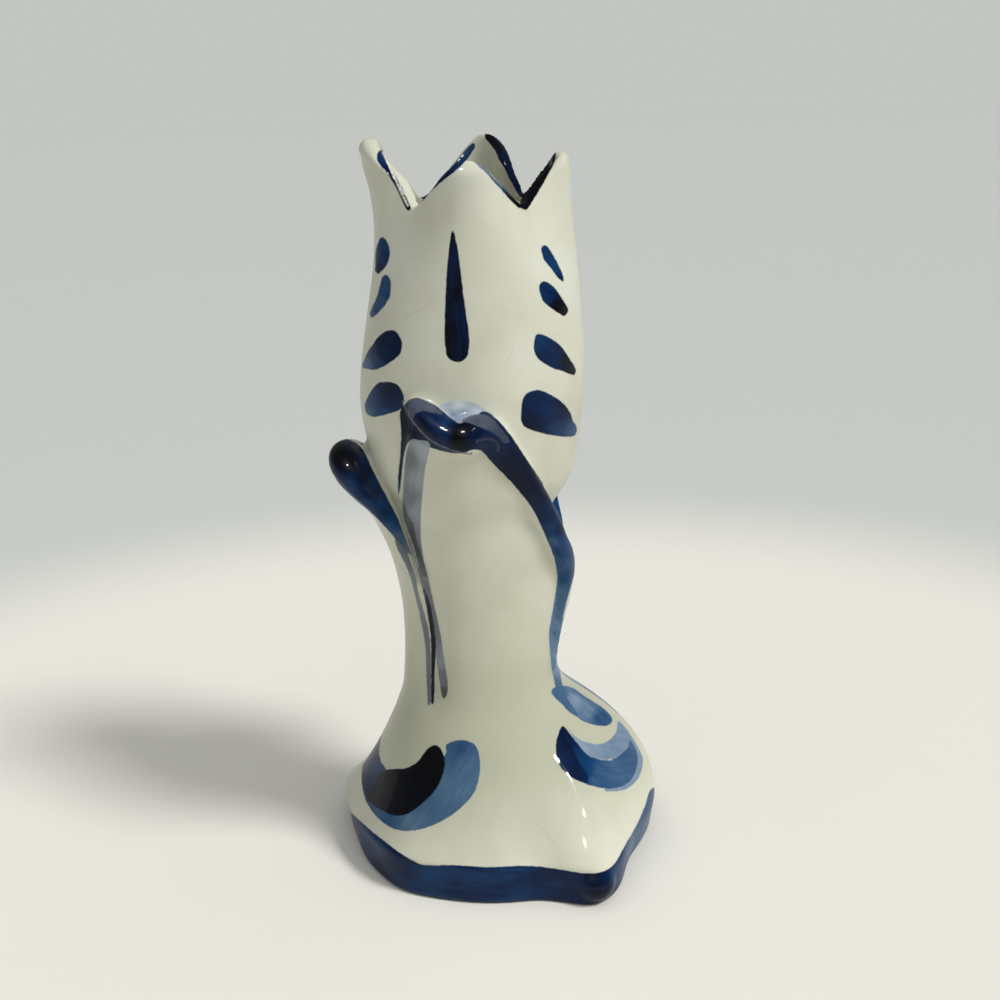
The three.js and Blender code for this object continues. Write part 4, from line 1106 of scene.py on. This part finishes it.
def glaze(name):
    material = bpy.data.materials.new(name)
    n = Nodes(material)
    coordinate = n.add("TexCoord", {})["Object"]
    colour = n.ramp(n.noise(coordinate, CLOUDS, 3, 0.55)[0], BARE)
    # pooled glaze and painted shade: darker and greener in the hollows, by how deep the glaze stands there
    colour = n.mix(n.math("MULTIPLY", n.attribute("pool_and_shade_depth"), POOL_AND_SHADE_COVER, clamp=True), colour, POOLED_GLAZE_AND_SHADE)
    # painted shade: darker round the waist above the foot
    colour = n.mix(n.attribute("waist_painted_shade"), colour, WAIST_PAINTED_SHADE)
    # Crazing in patches, and a few specks in the clay
    waver = n.noise(coordinate, WAVES)["Color"]
    bent = n.add("VectorMath", {0: waver, 1: WAVE_SIZE, 2: coordinate}, operation="MULTIPLY_ADD")[0]
    crack = n.cells(n.scaled(bent, CRACK_SQUEEZE), CRACKS, feature="DISTANCE_TO_EDGE")["Distance"]
    where = n.math("SUBTRACT", 1, n.step(n.noise(coordinate, CRAZED_AREAS, 1)[0], *CRAZED_EDGE))
    crazed = n.times(n.step(crack, *CRACK_EDGE), n.times(where, CRAZE_COVER))
    colour = n.mix(crazed, colour, CRAZED_GLAZE)
    grains = n.cells(coordinate, GRAINS)
    chance = n.math("GREATER_THAN", n.add("SeparateColor", {0: grains["Color"]})[0], SPECK_CHANCE)
    speck = n.times(n.step(grains["Distance"], *GRAIN_EDGE), n.times(chance, SPECK_COVER))
    colour = n.mix(speck, colour, SPECK)
    ragged = n.noise(coordinate, RAGS, 3, 0.6)[0]
    for layer in LAYERS:
        mask = n.step(n.math("ADD", n.attribute(layer + "_edge"), n.swing(ragged, RAGGED)), *PAINT_EDGE)
        run = n.attribute(layer + "_run", "Vector")
        streak = n.swing(n.noise(n.scaled(run, STREAKS), 1, 3, 0.6)[0], STREAK_SIZE)
        blot = n.swing(n.noise(n.scaled(run, BLOTS), 1)[0], BLOT_SIZE)
        vary = n.times(n.math("ADD", streak, blot), n.attribute(layer + "_mottle"))
        shade = n.math("ADD", n.attribute(layer + "_tone"), vary, clamp=True)
        cover = n.times(mask, LIFT_COVER) if layer == "lift" else mask
        colour = n.mix(cover, colour, n.ramp(shade, GREY if layer in ("lift", "top") else COBALT))
    worn = n.math("MULTIPLY_ADD", n.noise(coordinate, WEAR, 4, 0.6)[0], ROUGHNESS_SWING, ROUGHNESS)
    bumps = n.add("Bump", {"Height": n.noise(coordinate, BUMPS)[0], **BUMP})[0]
    n.feed("Principled BSDF", {"Base Color": colour, "Roughness": worn, "Coat Normal": bumps, **COAT})
    return material


GLAZE = glaze("cobalt_painted_glaze")
POOL_AND_SHADE_DEPTH = 0.5


def put(mesh, name, values):
    """Stores values on the outer points of a piece, and again on its inner ones."""
    values = np.concatenate([values, values])[:len(mesh.vertices)].astype(np.float32)
    single = values.ndim == 1
    data = mesh.attributes.new(name, "FLOAT" if single else "FLOAT_VECTOR", "POINT")
    data.data.foreach_set("value" if single else "vector", values.ravel())


def dress(node):
    """The part of the skin that belongs to one node, with an inner side of its own where it has a shell."""
    mine = label[skin_faces]
    owner = np.array([(mine == k).sum(1) for k in range(len(NAMES))]).argmax(0)
    used, back = np.unique(skin_faces[owner == NAMES.index(node)], return_inverse=True)
    faces = back.reshape(-1, 4)
    points, normals = skin_points[used], skin_normals[used]
    all_points, all_faces = points, faces
    if node != "tulip_cup":
        size = len(points)
        pairs = sides_of(faces)
        keys, turned = (pairs.astype(np.int64) @ [size, 1], pairs.astype(np.int64) @ [1, size])
        rims = pairs[~np.isin(keys, turned)]
        walls = np.stack([rims[:, 1], rims[:, 0], rims[:, 0] + size, rims[:, 1] + size], 1)
        all_points = np.concatenate([points, points - normals * SHELL])
        all_faces = np.concatenate([faces, faces[:, ::-1] + size, walls])
    mesh = make_mesh(node + "_glazed", all_points, all_faces)
    mesh.polygons.foreach_set("use_smooth", np.ones(len(all_faces), bool))
    mesh.normals_split_custom_set_from_vertices(np.concatenate([normals, -normals])[:len(all_points)].tolist())
    for layer in LAYERS:
        for kind, values in paint[layer].items():
            put(mesh, f"{layer}_{kind}", values[used])
    # depth of the hollows, for the pooled glaze and painted shade
    put(mesh, "pool_and_shade_depth", np.clip(pool_and_shade_depth[used] / POOL_AND_SHADE_DEPTH, 0, 1))
    # painted shade round the waist, by height
    put(mesh, "waist_painted_shade", WAIST_PAINTED_SHADE_SHARE(points[:, 2]))
    piece = add_object(node + "_glazed", mesh)
    mesh.materials.append(GLAZE)
    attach(piece, "root")
    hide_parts(node)


for node in NAMES:
    dress(node)

# Floor
FLOOR_RADIUS = 6.0
FLOOR_FADE = (0.18, 0.29)
NEAR_FLOOR = srgb(237, 235, 226)
FAR_FLOOR = srgb(204, 207, 203)
floor_mesh = bpy.data.meshes.new("floor")
form = bmesh.new()
bmesh.ops.create_circle(form, cap_ends=True, segments=96, radius=FLOOR_RADIUS)
form.to_mesh(floor_mesh)
form.free()
floor = add_object("floor", floor_mesh)
floor_material = bpy.data.materials.new("pale_floor")
ground = Nodes(floor_material)
reach = ground.add("VectorMath", {0: ground.add("TexCoord", {})["Object"]}, operation="LENGTH")["Value"]
ground.feed("Principled BSDF", {"Base Color": ground.mix(ground.step(reach, *FLOOR_FADE), FAR_FLOOR, NEAR_FLOOR),
                                "Roughness": 0.6, "Specular IOR Level": 0.1})
floor_mesh.materials.append(floor_material)

# Soft studio light, and the far floor's colour behind it all
SKY_LIGHT = (0.96, 0.98, 1.0, 1)
SKY_STRENGTH = 0.2
PLAIN_BACK = srgb(194.5, 197.4, 193.1)
world = bpy.data.worlds.new("studio")
bpy.context.scene.world = world
sky = Nodes(world)
sky.feed("Background", {"Color": SKY_LIGHT, "Strength": SKY_STRENGTH})
seen_directly = sky.add("LightPath", {})["Is Camera Ray"]
lit_back = sky.tree.nodes["Background"].outputs[0]
plain_back = sky.add("Background", {"Color": PLAIN_BACK})[0]
sky.feed("World Output", {"Surface": sky.add("MixShader", {0: seen_directly, 1: lit_back, 2: plain_back})[0]})

LAMP_AIM = Vector((0, 0, 0.07))
LAMP_DISTANCE = 1.2


def lamp(kind, name, azimuth, elevation, strength, size, colour=(1, 1, 1)):
    """A sun lamp of a size in degrees, or a round area lamp of a size in metres."""
    data = bpy.data.lights.new(name, kind)
    data.energy = strength
    data.color = colour
    if kind == "SUN":
        data.angle = math.radians(size)
    else:
        data.shape = "DISK"
        data.size = size
    light = add_object(name, data)
    a, e = math.radians(azimuth), math.radians(elevation)
    way = Vector((math.sin(a) * math.cos(e), -math.cos(a) * math.cos(e), math.sin(e)))
    light.location = LAMP_AIM + way * LAMP_DISTANCE
    light.rotation_mode = "QUATERNION"
    light.rotation_quaternion = way.to_track_quat("Z", "Y")
    return light


# Soft lamps light the glaze, and sparks only shine in it: name, azimuth, elevation, strength, size
SOFT_LAMPS = [("key", 60, 48, 2.1, 15, (1, 0.99, 0.97)), ("overhead", 20, 76, 0.95, 100)]
SPARKS = [("upper_spark", 53, 41, 0.85, 0.024), ("lower_spark", 38, 47, 0.85, 0.024),
          ("front_spark", -25, 45, 14.5, 0.2)]
for soft in SOFT_LAMPS:
    lamp("SUN", *soft).visible_glossy = False
for spark in SPARKS:
    lamp("AREA", *spark).visible_diffuse = False

# Camera at the photograph's viewpoint
SENSOR_WIDTH = 36
camera_data = bpy.data.cameras.new("camera")
camera_data.sensor_width = SENSOR_WIDTH
camera_data.lens = SENSOR_WIDTH * FOCAL_PIXELS / (2 * PICTURE_MIDDLE)
camera_data.clip_start = 0.01
camera = add_object("camera", camera_data)
turn = Matrix((right, up, -forward)).transposed()
camera.matrix_world = Matrix.Translation(Vector((VIEW_FROM + AXIS) * MM)) @ turn.to_4x4()
bpy.context.scene.camera = camera
bpy.context.scene.view_settings.view_transform = "Standard"
